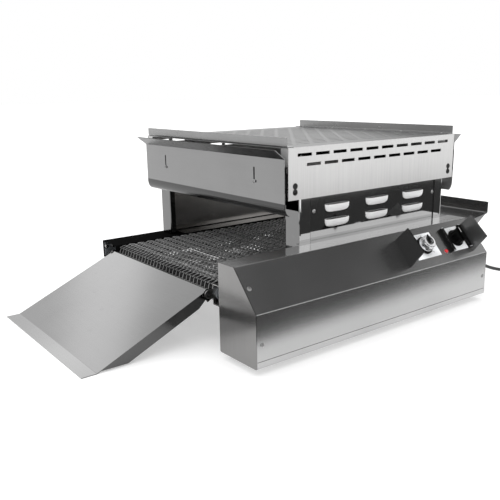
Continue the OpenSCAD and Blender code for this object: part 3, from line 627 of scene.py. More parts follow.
@dataclass
class Shape:
    """Points and faces of one piece, gathered in the machine's millimetres."""

    bench: Bench
    points: list[np.ndarray] = field(default_factory=list)
    faces: list[list[int]] = field(default_factory=list)
    count: int = 0

    def add(self, points: np.ndarray, faces: Iterable[Sequence[int]], place: Matrix | None = None) -> None:
        """Adds a mesh.

        Args:
            points: Its points.
            faces: Its faces, as numbers of those points.
            place: Matrix from the mesh's own millimetres to the machine's.
        """
        points = np.asarray(points, float).reshape(-1, 3)
        if place is not None:
            m = np.array(place)
            points = points @ m[:3, :3].T + m[:3, 3]
        self.points.append(points)
        self.faces.extend([i + self.count for i in face] for face in faces)
        self.count += len(points)

    def tubes(self, paths: np.ndarray, radius: float, sides: int, ref: Point) -> None:
        """Adds round wires.

        Args:
            paths: Points of each wire, as an array of wires, points and coordinates.
            radius: Radius of the wire.
            sides: Sides of its section.
            ref: Direction that no stretch of a wire follows.
        """
        line = np.asarray(paths, float)
        ahead = np.gradient(line, axis=1)
        ahead /= np.linalg.norm(ahead, axis=2, keepdims=True)
        side = np.cross(ahead, ref)
        side /= np.linalg.norm(side, axis=2, keepdims=True)
        upper = np.cross(side, ahead)
        turn = np.arange(sides) * (2 * math.pi / sides)
        round_ = np.cos(turn)[:, None] * side[:, :, None] + np.sin(turn)[:, None] * upper[:, :, None]
        rings = line[:, :, None] + radius * round_
        index = np.arange(rings.size // 3).reshape(rings.shape[:3])
        a, d = index[:, :-1], index[:, 1:]
        b, c = np.roll(a, -1, 2), np.roll(d, -1, 2)
        faces = np.stack([a, d, c, b], -1).reshape(-1, 4).tolist()
        self.add(rings, faces + index[:, 0].tolist() + index[:, -1, ::-1].tolist())

    def lathe(
        self,
        profile: Pairs,
        place: Matrix,
        steps: int,
        flute: Flute | None = None,
    ) -> None:
        """Adds a turned part.

        Args:
            profile: Radius and height of each ring, from one end to the other.
            place: Where the part's axis stands.
            steps: Faces round the part.
            flute: Radius factor for the angles of a ring and its share of the rings.
        """
        turn = np.arange(steps) * (2 * math.pi / steps)
        rings = []
        for i, (radius, height) in enumerate(profile):
            r = np.full(steps, max(radius, 0.01))
            if flute is not None:
                r = r * flute(turn, i / (len(profile) - 1))
            rings.append(np.stack([r * np.cos(turn), r * np.sin(turn), np.full(steps, height)], 1))
        self.rings(rings, place)

    def rings(self, rings: Sequence[np.ndarray], place: Matrix | None = None) -> None:
        """Adds a closed skin over rings of points.

        Args:
            rings: Rings with the same number of points.
            place: Matrix from their own millimetres to the machine's.
        """
        n, m = len(rings), len(rings[0])
        index = np.arange(n * m).reshape(n, m)
        a, d = index[:-1], index[1:]
        b, c = np.roll(a, -1, 1), np.roll(d, -1, 1)
        faces = np.stack([a, b, c, d], -1).reshape(-1, 4).tolist()
        ends = [index[0, ::-1].tolist(), index[-1].tolist()]
        self.add(np.concatenate(rings), faces + ends, place)

    def slab(self, edges: Point, low: float, high: float, place: Matrix, soft: float = 0.0) -> None:
        """Adds a flat plate with softened upper edges.

        Args:
            edges: X and Y of one corner and of the one across from it.
            low: Height of its lower face.
            high: Height of its upper face.
            place: Where it lies.
            soft: Width of the softened edge.
        """
        flat = np.array(box_outline(*edges), float)
        middle = flat.mean(0)
        inner = middle + (flat - middle) * (1 - soft / np.abs(flat - middle).max())
        layers = [(flat, low), (flat, high - soft), (inner, high)] if soft else [(flat, low), (flat, high)]
        self.rings([np.column_stack([p, np.full(len(p), z)]) for p, z in layers], place)

    def piece(
        self,
        name: str,
        finish: Finish,
        body: Body = Body.FRAME,
        slot: Slot | None = None,
        replaces: Sequence[str] = (),
        crease: float = 35.0,
    ) -> bpy.types.Object:
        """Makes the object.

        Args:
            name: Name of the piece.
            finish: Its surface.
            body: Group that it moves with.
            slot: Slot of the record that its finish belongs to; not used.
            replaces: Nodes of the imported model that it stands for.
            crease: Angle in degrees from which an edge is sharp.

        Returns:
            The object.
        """
        mesh = bpy.data.meshes.new(name)
        mesh.from_pydata(self.bench.all(np.concatenate(self.points)), [], self.faces)
        mesh.polygons.foreach_set("use_smooth", [True] * len(mesh.polygons))
        mesh.set_sharp_from_angle(angle=math.radians(crease))
        mesh.update()
        obj = bpy.data.objects.new(name, mesh)
        bpy.context.scene.collection.objects.link(obj)
        finish.dress(obj)
        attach(obj, body.value)
        if replaces:
            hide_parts(*replaces)
        LOG.info("piece %s: %d faces", name, len(mesh.polygons))
        return obj


@dataclass(frozen=True)
class CrossScrew:
    """Pan head screw with a cross recess and a pressed washer."""

    radius: float
    height: float
    washer: float

    def add(self, shape: Shape, place: Matrix) -> None:
        """Adds the screw to a shape.

        Args:
            shape: Shape that it is added to.
            place: Where it stands.
        """
        steps, rim, recess = 48, 0.4, 1.1
        turn = np.arange(steps) * (2 * math.pi / steps) + math.radians(20)
        rings = []
        for share in (1.0, 1.0, 0.9, 0.74, 0.62, 0.5, 0.34, 0.16, 0.02):
            r = self.radius * share
            flat = np.stack([r * np.cos(turn), r * np.sin(turn)], 1)
            dome = self.height * math.sqrt(max(0.0, 1 - 0.8 * share**2))
            slot = (np.abs(flat).min(1) < 0.17 * self.radius) & (share < 0.65)
            height = np.where(slot, dome - recess, dome) if rings else np.full(steps, rim)
            rings.append(np.column_stack([flat, height]))
        shape.rings(rings, place)
        w = self.washer
        shape.lathe([(w, 0.02), (w, 0.4), (w - 0.3, 0.6), (self.radius - 0.4, 0.6)], place, 32)


@dataclass(frozen=True)
class HexBolt:
    """Hexagon bolt on a washer."""

    washer: float
    bore: float
    head: float

    def add(self, shape: Shape, place: Matrix) -> None:
        """Adds the bolt to a shape, standing at a place."""
        shape.lathe([(self.washer, 0.0), (self.washer, 0.8), (self.bore, 0.9)], place, 28)
        shape.lathe([(self.head, 0.8), (self.head, 3.6), (self.head - 0.8, 4.2)], place, 6)


@dataclass(frozen=True)
class Slope:
    """The sloped panel of the control box."""

    fold_z: float = 118.0
    angle: float = math.radians(48.70463)

    def place(self, x: float, up: float, out: float = 0.0) -> Matrix:
        """Returns a place along, up and out of the panel, with Y up the slope and Z out of it."""
        c, s = math.cos(self.angle), math.sin(self.angle)
        return turned((x, up * c - out * s, self.fold_z + up * s + out * c), (0, -s, c))


@dataclass
class SubAssembly:
    """A group of pieces, built round the belt's middle line."""

    bench: Bench
    middle: float = 412.0

    def shape(self) -> Shape:
        """Returns a shape with nothing in it yet."""
        return Shape(self.bench)

    def sides(self, xs: Point, away: float, zs: Point, way: int = 1) -> Iterator[Matrix]:
        """Yields places on both sides of the belt, which look away from it, or at it where way is -1."""
        for side, x, z in product(SIDES, xs, zs):
            yield turned((x, self.middle + side * away, z), (0, side * way, 0))


@dataclass
class Conveyor(SubAssembly):
    """The woven belt: flat spirals of alternate hand, linked by cross wires into an endless loop."""

    drive_x: float = 62.0
    idler_x: float = 718.0
    axis_z: float = 102.0
    turn_r: float = 19.65
    width: float = 429.0
    wire_r: float = 1.0
    rod_r: float = 0.9
    half_t: float = 1.23
    pitch: float = 13.0
    loops: int = 30
    overhang: float = 0.4
    joint_x: float = 168.0
    joint_y: Pair = (355.0, 484.0)

    @property
    def run(self) -> float:
        """Length of one straight run."""
        return self.idler_x - self.drive_x

    @property
    def length(self) -> float:
        """Length of the whole loop."""
        return 2 * (self.run + math.pi * self.turn_r)

    def on_loop(self, s: np.ndarray, y: np.ndarray, h: np.ndarray) -> np.ndarray:
        """Carries points of the flat belt round the drums.

        Args:
            s: Distances along the loop.
            y: Distances from the middle of the belt.
            h: Distances out of the middle of its thickness.

        Returns:
            The points in the machine's millimetres.
        """
        wrap = math.pi * self.turn_r
        s = np.mod(s, self.length)
        back = s >= self.run + wrap
        t = np.where(back, s - self.run - wrap, s)
        angle = np.clip((t - self.run) / self.turn_r, 0, math.pi)
        x = np.minimum(t, self.run) + (self.turn_r + h) * np.sin(angle)
        z = (self.turn_r + h) * np.cos(angle)
        x = np.where(back, self.idler_x - x, self.drive_x + x)
        return np.stack([x, self.middle + y, self.axis_z + np.where(back, -z, z)], -1)

    def spirals(self, numbers: np.ndarray, step: float, upper: bool) -> np.ndarray:
        """Centre lines of the strands of spiral wires.

        Args:
            numbers: Numbers of the spirals round the loop.
            step: Distance between cross wires.
            upper: Whether the strands on the outside of the belt are wanted, or those on its inside.

        Returns:
            Their points, as an array of strands, points and coordinates.
        """
        reach, bend = self.rod_r + self.wire_r, 0.4
        along = np.array([-reach, bend, step / 3, step * 2 / 3, step - bend, step + reach])
        out = np.array([0.0, 1.0, 1.0, 1.0, 1.0, 0.0]) * self.half_t
        across = np.array([0.0, 0.07, 0.19, 0.31, 0.43, 0.5])
        if not upper:
            along, out, across = along[::-1], -out, across + 0.5
        lateral = self.width / self.loops
        y = ((np.arange(self.loops)[:, None] + across) * lateral - self.width / 2)[None]
        hand = np.where(numbers % 2, -1.0, 1.0)[:, None, None]
        s = numbers[:, None, None] * step + along + 0 * y
        points = self.on_loop(s, y * hand, np.broadcast_to(out, s.shape))
        return points.reshape(-1, len(along), 3)

    def build(self) -> None:
        """Builds the spirals and the cross wires, which stand for the four solids of the belt."""
        count = 2 * round(self.length / self.pitch / 2)
        step = self.length / count
        numbers = np.arange(count)
        flat = np.mod(numbers * step, self.length) < self.run - step / 2
        solids = ["belt_top_run", "belt_return_run", "belt_front_wrap", "belt_rear_wrap"]
        # The strands on the belt's inside take a near-black finish: painted shade.
        for name, chosen, upper, finish, replaces in (
            ("belt_spirals", numbers[flat], True, Paints.MESH, solids),
            ("belt_spirals_inside", numbers[flat], False, Paints.MESH_UNDER, ()),
            ("belt_return_spirals", numbers[~flat], True, Paints.MESH_DULL, ()),
            ("belt_return_spirals_inside", numbers[~flat], False, Paints.MESH_UNDER, ()),
        ):
            strands = self.shape()
            strands.tubes(self.spirals(chosen, step, upper), self.wire_r, 5 if upper else 3, (0, 1, 0))
            strands.piece(name, finish, slot=Slot.BELT, crease=180, replaces=replaces)
        ends = np.array(SIDES) * (self.width / 2 + self.overhang)
        s = np.repeat(numbers[:, None] * step, 2, 1)
        rods = self.shape()
        rods.tubes(self.on_loop(s, np.broadcast_to(ends, s.shape), 0 * s), self.rod_r, 6, UP)
        rods.piece("belt_cross_wires", Paints.MESH_ROD, slot=Slot.BELT)
        self.build_joint(step)

    def build_joint(self, step: float) -> None:
        """Builds the bright wire that was laid in last to close the belt.

        Args:
            step: Distance between cross wires.
        """
        y = np.linspace(*self.joint_y, 41) - self.middle
        s = np.full_like(y, round((self.joint_x - self.drive_x) / step) * step)
        s[1::2] += 0.5
        joint = self.shape()
        joint.tubes(self.on_loop(s, y, np.full_like(y, self.half_t + 0.2))[None], self.rod_r, 8, UP)
        joint.piece("belt_joint_wire", Paints.JOINT, slot=Slot.BELT)


@dataclass
class PowerCord(SubAssembly):
    """Mains cord with a ribbed strain relief, a tied coil and a moulded plug."""

    box_l: float = 700.0
    exit_y: float = 50.0
    diameter: float = 8.0
    gap: float = 0.8
    coil_r: float = 45.0
    turns: int = 6
    tail_l: float = 90.0
    plug_z: float = 18.0
    plug_l: float = 50.0
    gland_l: float = 36.0
    route: tuple[Triple, ...] = (
        (36, 0, 65), (46, 0, 65), (64, -2, 60), (82, -6, 52), (102, -13, 45), (122, -22, 40),
        (142, -33, 36), (162, -45, 31), (182, -57, 24), (202, -67, 15), (220, -74, 7), (234, -77, 2),
        (242, -78, 0), (250, -78, 0),
    )

    @property
    def rest_z(self) -> float:
        """Height of the lowest turn's middle."""
        return self.diameter / 2 + 1

    @property
    def step(self) -> float:
        """Distance between turns."""
        return self.diameter + self.gap

    @property
    def outer(self) -> float:
        """Middle radius of the outermost turn."""
        return self.coil_r + self.step * self.turns / 4

    @property
    def knots(self) -> np.ndarray:
        """Points from the strain relief to the coil."""
        return np.array(self.route) + (self.box_l, self.exit_y, self.rest_z)

    @property
    def hub(self) -> np.ndarray:
        """Middle of the coil's lowest turn."""
        return self.knots[-1] + (self.diameter, self.outer, 0)

    def coil(self, t: np.ndarray) -> np.ndarray:
        """Points of the coil.

        Args:
            t: Turns from the start of the coil.

        Returns:
            The points, which run in on the table, climb and run out on top.
        """
        radius = self.outer - self.step * np.minimum(t, self.turns - t)
        climb = np.clip((t - self.turns / 2 + 0.25) * 2, 0, 1)
        lift = climb * climb * (3 - 2 * climb) * self.step
        angle = 2 * math.pi * t
        return self.hub + np.stack([radius * np.sin(angle), -radius * np.cos(angle), lift], -1)

    def tail(self) -> tuple[np.ndarray, Vector]:
        """Lays the stretch from the coil to the plug.

        Returns:
            Its points and its direction.
        """
        last = self.coil(np.array([self.turns - 1 / 24, float(self.turns)]))
        ahead = last[1] - last[0]
        ahead = np.array([ahead[0], ahead[1], 0.0]) / np.hypot(ahead[0], ahead[1])
        start = last[1] + ahead * self.diameter
        far = np.linspace(0, self.tail_l, 19)
        points = start + far[:, None] * ahead
        points[:, 2] -= (start[2] - self.plug_z) * (1 - np.cos(far / self.tail_l * math.pi)) / 2
        return points, Vector(ahead)

    def line(self) -> np.ndarray:
        """Lays the whole cord as one smooth line.

        Returns:
            Its points.
        """
        knots = self.knots
        padded = np.concatenate([2 * knots[:1] - knots[1:2], knots, 2 * knots[-1:] - knots[-2:-1]])
        free = []
        for a, b, c, d in zip(padded, padded[1:], padded[2:], padded[3:]):
            square, cube = 2 * a - 5 * b + 4 * c - d, 3 * b - a - 3 * c + d
            for u in (0.0, 0.25, 0.5, 0.75):
                free.append(0.5 * (2 * b + (c - a) * u + square * u**2 + cube * u**3))
        wound = self.coil(np.linspace(0, self.turns, self.turns * 40 + 1))
        return np.concatenate([free, knots[-1:], wound, self.tail()[0]])

    def build(self) -> None:
        points = self.bench.all(self.line())
        curve = bpy.data.curves.new("mains_cord", "CURVE")
        curve.dimensions = "3D"
        curve.bevel_depth = self.diameter / 2000
        curve.bevel_resolution = 4
        curve.use_fill_caps = True
        spline = curve.splines.new("POLY")
        spline.points.add(len(points) - 1)
        spline.points.foreach_set("co", np.column_stack([points, np.ones(len(points))]).ravel())
        spline.use_smooth = True
        cord = bpy.data.objects.new("mains_cord", curve)
        bpy.context.scene.collection.objects.link(cord)
        Paints.JACKET.dress(cord)
        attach(cord, Body.FRAME.value)
        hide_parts("cord", "cord_coil", "cord_tail")
        plug = self.build_plug()
        tie = self.build_tie()
        self.build_gland()
        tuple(points[0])
        self.diameter / 1000

    def build_gland(self) -> None:
        """Builds the strain relief with its flexing ribs."""
        place = turned((self.box_l, self.exit_y, self.knots[0][2]), (1, 0, 0), (0, 1, 0))
        profile = [(7.0, -8.0), (7.0, 0.0), (10.4, 0.0), (10.9, 0.8), (10.9, 3.8), (10.2, 4.8), (8.6, 5.2)]
        for i in range(6):
            r, h = 8.6 - i * 0.58, 7 + i * 4.6
            profile += [(r, h), (r - 0.2, h + 0.3), (r - 1.5, h + 0.5)]
            profile += [(r - 1.6, h + 2.2), (r - 0.6, h + 2.5)]
        profile += [(5.2, self.gland_l - 0.6), (4.6, self.gland_l)]
        gland = self.shape()
        gland.lathe(profile, place, 40)
        gland.piece("strain_relief", Paints.JACKET, slot=Slot.CORD, replaces=["cord_gland"])

    def build_plug(self) -> bpy.types.Object:
        """Builds the plug with its grip ribs, and its two round pins.

        Returns:
            The plug.
        """
        tail, ahead = self.tail()
        place = turned(tail[-1], ahead, UP)

        def grip(turn: np.ndarray, share: float) -> np.ndarray:
            """Flattens the plug's waist."""
            waist = max(0.0, 1 - abs(share - 0.6) * 4)
            return 1 - 0.1 * waist * (1 + np.cos(2 * turn)) / 2

        profile = [(4.6, 0.0), (5.2, 2.0)]
        for i in range(4):
            r, h = 0.2 * i, 3 * i
            profile += [(5.6 + r, 3 + h), (5.9 + r, 4.2 + h), (5.0 + r, 4.6 + h)]
        profile += [(8.5, 18.0), (11.0, 22.0), (14.4, 27.0), (16.4, 32.0), (17.2, 36.0), (16.6, 36.6)]
        profile += [(16.6, 38.0), (17.4, 38.6), (17.8, 44.0), (17.8, 48.6), (17.0, 49.8), (0.0, self.plug_l)]
        body = self.shape()
        body.lathe(profile, place, 48, grip)
        plug = body.piece("plug_body", Paints.PLUG, slot=Slot.CORD, replaces=["plug"])
        pins = self.shape()
        for side in (-9.5, 9.5):
            stand = place @ Matrix.Translation((0, side, self.plug_l))
            pins.lathe([(2.35, -1.0), (2.35, 17.0), (1.9, 18.5), (0.8, 19.0)], stand, 24)
        pins.piece("plug_pins", Paints.PIN, slot=Slot.BRIGHT)
        return plug

    def build_tie(self) -> bpy.types.Object:
        """Builds the cable tie round the coil, with its ratchet head.

        Returns:
            The tie.
        """
        slack, corner, bottom, head_h = 1.6, 4.0, 0.5, 4.2
        hub_x, hub_y, _ = self.hub
        inner = self.outer - self.step * self.turns / 2 - self.diameter / 2 - slack
        outer = self.outer + self.diameter / 2 + slack
        top = self.step + self.diameter + 1.4
        bends = [(outer - corner, top - corner), (inner + corner, top - corner)]
        bends += [(inner + corner, bottom + corner), (outer - corner, bottom + corner)]
        loop = []
        for quarter, (y, z) in enumerate(bends):
            for k in range(7):
                a = math.radians(90 * quarter + 15 * k)
                loop.append((y + corner * math.cos(a), z + corner * math.sin(a)))
        ring = np.array(loop)
        away = ring - ring.mean(0)
        away /= np.linalg.norm(away, axis=1, keepdims=True)
        rings = []
        for x, grow in ((-3, 0.0), (-2.4, 0.4), (2.4, 0.4), (3, 0.0), (3, -0.5), (-3, -0.5), (-3, 0.0)):
            y, z = (ring + away * grow).T
            rings.append(np.column_stack([hub_x + np.full(len(ring), x), hub_y + y, z]))
        band = self.shape()
        band.rings(rings)
        head = turned((hub_x, hub_y + outer - 9, top - head_h), UP)
        band.slab((-3.6, -2.6, 3.6, 2.6), -0.2, head_h, head, 0.8)
        return band.piece("cable_tie", Paints.TIE, slot=Slot.TIE, replaces=["cord_tie"])


@dataclass
class ControlPanel(SubAssembly):
    """Dials, knobs and the pilot lamp on the sloped panel."""

    slope: Slope = Slope()
    speed_x: float = 504.0
    heat_x: float = 618.0
    up: float = 52.0
    lamp: Pair = (563.0, 27.0)
    knob_r: float = 21.0
    knob_h: float = 24.0
    base_h: float = 1.3
    dial_h: float = 60.0
    heat_w: float = 70.0
    bar_w: float = 8.0
    bar_h: float = 8.0
    skin: float = 0.1
    print_out: float = 0.98
    print_t: float = 0.12
    scale: Pair = (225.0, 270.0)

    def build(self) -> None:
        """Builds everything on the panel."""
        self.build_speed_knob()
        self.build_heat_knob()
        self.build_marks()
        self.build_bars()
        self.build_lamp()

    def build_speed_knob(self) -> None:
        """Builds the bright knob with its dark skirt, pointer and cap ring."""
        place = self.slope.place(self.speed_x, self.up, self.base_h)
        r, h = self.knob_r, self.knob_h
        profile = [(r - 3.1, 4.6), (r - 3.2, 6.5), (r - 3.4, 9), (r - 3.8, 13), (r - 4.2, 17)]
        profile += [(r - 4.8, 20), (r - 6.4, 22.2), (r - 8.6, 23), (0, 23)]
        grip = self.shape()
        grip.lathe(profile, place, 144, ribs(36, 0.022, (0.32, 0.8)))
        grip.piece("speed_knob_grip", Paints.CHROME, Body.SPEED, Slot.CHROME, ["speed_knob"])
        skirt = [(r - 0.6, 0), (r, 0.5), (r, 3.2), (r - 0.8, 4.4), (r - 2.6, 5.4), (r - 3.6, 5.4)]
        dark = self.shape()
        dark.lathe(skirt, place, 96)
        dark.slab((-1.6, 2.0, 1.6, r - 5.2), 22.6, h - 0.1, place, 0.4)
        dark.slab((-1.3, r - 2.4, 1.3, r - 0.6), 3.6, 5.2, place, 0.3)
        dark.lathe([(8.4, 22.8), (8.4, 23.4), (7.6, 23.6), (7.2, 23.0)], place, 48)
        dark.piece("speed_knob_pointer", Paints.BEZEL, Body.SPEED, Slot.BLACK)

    def build_heat_knob(self) -> None:
        """Builds the black knob with its finger bar and pale pointer."""
        place = self.slope.place(self.heat_x, self.up, self.base_h)
        r, h = self.knob_r, self.knob_h
        profile = [(r - 0.8, 0), (r, 0.6), (r, 3.4), (r - 0.9, 4.6), (r - 2.4, 5.6), (r - 3, 7)]
        profile += [(r - 3.4, 11), (r - 4, 16), (r - 4.8, 19), (r - 6.6, 20.6), (0, 20.8)]
        grip = self.shape()
        grip.lathe(profile, place, 144, ribs(12, 0.03, (0.3, 0.75)))
        grip.slab((-4, 4 - r, 4, r - 4), 18.0, h, place, 1.4)
        grip.piece("heat_knob_grip", Paints.KNOB, Body.HEAT, Slot.BLACK, ["heat_knob"])
        mark = self.shape()
        mark.slab((-0.7, 3.0, 0.7, r - 5.6), h - 0.6, h + 0.05, place)
        mark.slab((-0.7, r - 2.6, 0.7, r - 0.7), 3.4, 5.0, place, 0.2)
        mark.piece("heat_knob_pointer", Paints.POINTER, Body.HEAT, Slot.DIAL)

    def digit(self, shape: Shape, place: Matrix, number: int, size: float) -> None:
        """Adds one figure of a dial, made of seven bars.

        Args:
            shape: Shape that it is added to.
            place: Its middle.
            number: Figure from 0 to 9.
            size: Half its height.
        """
        inked = "abcdef bc abged abgcd fgbc afgcd afgedc abc abcdefg abcdfg".split()[number]
        w, t = size * 0.5, size * 0.17
        bars = {
            "a": (-w, size - t, w, size), "b": (w - t, 0, w, size), "c": (w - t, -size, w, 0),
            "d": (-w, -size, w, t - size), "e": (-w, -size, t - w, 0), "f": (-w, 0, t - w, size),
            "g": (-w, -t / 2, w, t / 2),
        }
        for name in inked:
            shape.slab(bars[name], 0.0, self.print_t, place)

    def build_marks(self) -> None:
        """Builds the printed scales of both dials and the figures of the first."""
        marks = self.shape()
        start, sweep = self.scale
        for x, last, near in ((self.speed_x, 9, 23.0), (self.heat_x, 6, 22.4)):
            for i in range(last * 2 + 1):
                angle = math.radians(start - sweep * i / (last * 2))
                stand = self.slope.place(x, self.up, self.print_out) @ Matrix.Rotation(angle, 4, "Z")
                far = near + (1.5 if i % 2 else 2.6)
                marks.slab((near, -0.3, far, 0.3), 0.0, self.print_t, stand)
        for i in range(10):
            angle = math.radians(start - sweep * i / 9)
            x, up = self.speed_x + 28.4 * math.cos(angle), self.up + 27.0 * math.sin(angle)
            self.digit(marks, self.slope.place(x, up, self.print_out), i, 1.9)
        marks.piece("dial_marks", Paints.MARK, slot=Slot.BLACK)

    def build_bars(self) -> None:
        """Builds the dark bars beside the second dial: the left one is a bezel strip, the right one is
        painted shade beside the right guard.
        """
        bars = self.shape()
        half, high = self.heat_w / 2 + self.skin, self.dial_h / 2 + self.skin
        for side in SIDES:
            edges = (side * half, -high, side * (half - self.bar_w - 2 * self.skin), high)
            bars.slab(edges, 0.02, self.bar_h + self.skin, self.slope.place(self.heat_x, self.up), 0.9)
        bars.piece("dial_bars", Paints.BEZEL, slot=Slot.BLACK)

    def build_lamp(self) -> None:
        """Builds the lamp's steel collar and its red lens."""
        place = self.slope.place(*self.lamp)
        collar, lens = self.shape(), self.shape()
        collar.lathe([(6.1, 0.0), (6.1, 1.2), (5.6, 1.7), (4.9, 1.7), (4.7, 1.2), (4.7, 0.2)], place, 40)
        collar.piece("lamp_collar", Paints.SCREW, slot=Slot.BRIGHT, replaces=["pilot_lamp"])
        profile = [(4.7, -2.0), (4.7, 1.6), (4.5, 2.8), (3.9, 4.0), (2.8, 5.0), (1.4, 5.4), (0, 5.5)]
        lens.lathe(profile, place, 40)
        lens.piece("lamp_lens", Paints.RED, slot=Slot.LAMP)


@dataclass
class LouvredWall(SubAssembly):
    """A side wall of the tunnel with two rows of pressed scoops and a liner behind it."""

    x0: float = 225.0
    x1: float = 677.0
    z0: float = 124.0
    z1: float = 298.0
    face: float = 282.5
    sheet: float = 1.5
    scoop_l: float = 70.0
    scoop_h: float = 17.0
    scoop_out: float = 8.0
    lap: Pair = (2.0, 3.0)
    columns: tuple[float, ...] = (325.0, 451.0, 577.0)
    rows: tuple[float, ...] = (215.0, 247.0)
    liner_t: float = 0.8
    liner_in: float = 9.0
    liner_short: float = 22.0
    liner_z: Pair = (128.0, 282.0)
    liner_foot: float = 50.0

    def build(self, name: str, side: int, finish: Finish) -> None:
        """Builds one wall.

        Args:
            name: Node that the wall stands for.
            side: -1 for the near and 1 for the far wall.
            finish: Surface of its sheet.
        """
        place = turned((0, self.middle + side * self.face, 0), (0, side, 0))
        flip = -side
        half, high = self.scoop_l / 2 - self.lap[0], self.scoop_h - self.lap[1]
        xs = [self.x0, *(c + end * half for c in self.columns for end in SIDES), self.x1]
        zs = [self.z0, *(r + end for r in self.rows for end in (0, high)), self.z1]
        plate = self.shape()
        for i, j in product(range(len(xs) - 1), range(len(zs) - 1)):
            if not (i % 2 and j % 2):
                edges = (xs[i], flip * zs[j], xs[i + 1], flip * zs[j + 1])
                plate.slab(edges, -self.sheet, 0.0, place)
        plate.piece(name + "_sheet", finish, slot=Slot.DARK, replaces=[name])
        self.build_liner(name, side, place)
        scoops = self.shape()
        for c, r in product(self.columns, self.rows):
            self.add_scoop(scoops, place @ Matrix.Translation((c, flip * r, 0)), flip)
        scoops.piece(name + "_scoops", Paints.SCOOP, slot=Slot.SATIN, crease=60)

    def build_liner(self, name: str, side: int, place: Matrix) -> None:
        """Builds the liner that closes the scoops from inside, with its foot.

        Args:
            name: Node that the wall stands for.
            side: -1 for the near and 1 for the far wall.
            place: Where the wall's face lies.
        """
        back = self.sheet + self.liner_in
        x0, x1 = self.x0 + self.liner_short, self.x1 - self.liner_short
        low, high = (-side * z for z in self.liner_z)
        liner = self.shape()
        liner.slab((x0, low, x1, high), -back - self.liner_t, -back, place, 0.4)
        y = side * (self.face - back)
        foot = turned((0, self.middle, self.z0 + 1.2), UP)
        liner.slab((x0, y, x1, y - side * self.liner_foot), 0.0, self.liner_t, foot, 0.3)
        liner.piece(name + "_liner", Paints.LINER, slot=Slot.DARK)

    def add_scoop(self, shape: Shape, place: Matrix, flip: int) -> None:
        """Adds one scoop, a shell that is open along its upper edge.

        Args:
            shape: Shape that it is added to.
            place: Middle of its foot on the wall.
            flip: 1 where the place's Y points up and -1 where it points down.
        """
        steps, cuts = 10, 24
        skins = []
        for grow in (0.15, -1.1):
            for i in range(cuts + 1):
                u = 2 * i / cuts - 1
                round_ = (1 - abs(u) ** 5) ** 0.5 if abs(u) < 1 else 0.0
                x = u * (self.scoop_l / 2 + grow)
                for k in range(steps + 1):
                    a = math.pi / 2 * k / steps
                    out = max(0.0, (self.scoop_out + grow) * round_) * math.cos(a)
                    high = (self.scoop_h + grow) * (0.45 + 0.55 * round_) * math.sin(a)
                    skins.append((x, flip * (self.scoop_h - high), out))
        index = np.arange((cuts + 1) * (steps + 1)).reshape(cuts + 1, steps + 1)
        a, b, c, d = index[:-1, :-1], index[1:, :-1], index[1:, 1:], index[:-1, 1:]
        outer = np.stack([a, b, c, d] if flip < 0 else [a, d, c, b], -1).reshape(-1, 4)
        inner = outer[:, ::-1] + index.size
        lip = [[i, i + index.size, j + index.size, j] for i, j in zip(index[:-1, 0], index[1:, 0])]
        shape.add(np.array(skins), outer.tolist() + inner.tolist() + lip, place)


@dataclass
class Seams(SubAssembly):
    """Bright strip behind the control box, tabs at the hood's corners and dark beads that are painted shadow
    lines of the seams.
    """

    strips: tuple[tuple[float, float, float, float], ...] = (
        (204.0, 110.0, 690.0, 127.2), (246.2, 126.0, 655.8, 129.35),
    )
    strip_z: Pair = (192.05, 192.4)
    lip: Triple = (2.0, 698.0, 28.0)
    posts: Pair = (246.0, 656.0)
    post_z: Pair = (194.0, 283.0)
    face: float = 282.7
    tab_x: Pair = (185.8, 720.2)
    tab_y: Pair = (262.0, 284.4)
    tab_z: Pair = (352.0, 388.4)
    tab_t: float = 1.2

    def build(self) -> None:
        """Builds the tabs, the strip, which lies on the cover, and the beads."""
        self.build_tabs()
        strip = self.shape()
        for edges in self.strips:
            strip.slab(edges, *self.strip_z, turned((0, 0, 0), UP), 0.2)
        strip.piece("gap_strip", Paints.WALL, slot=Slot.BRIGHT)
        # The dark beads along the front lip and beside the posts are painted shadow lines of the seams.
        beads = self.shape()
        x0, x1, z = self.lip
        beads.tubes(np.array([[(x0, 0.3, z), (x1, 0.3, z)]]), 0.6, 8, UP)
        for y in (self.middle - self.face, self.middle + self.face):
            lines = [[(x, y, z) for z in self.post_z] for x in self.posts]
            beads.tubes(np.array(lines), 1.0, 8, (1, 0, 0))
        beads.piece("shadow_gap_beads", Paints.SEAM_SHADE, slot=Slot.BLACK)

    def build_tabs(self) -> None:
        """Builds the four tabs above the beams."""
        tabs = self.shape()
        (y0, y1), (z0, z1) = self.tab_y, self.tab_z
        for (x, way), side in product(zip(self.tab_x, SIDES), SIDES):
            place = turned((x, self.middle, 0), (way, 0, 0), (0, 1, 0))
            tabs.slab((side * y0, way * z0, side * y1, way * z1), 0.0, self.tab_t, place)
        tabs.piece("hood_corner_tabs", Paints.PANEL, slot=Slot.BRIGHT)


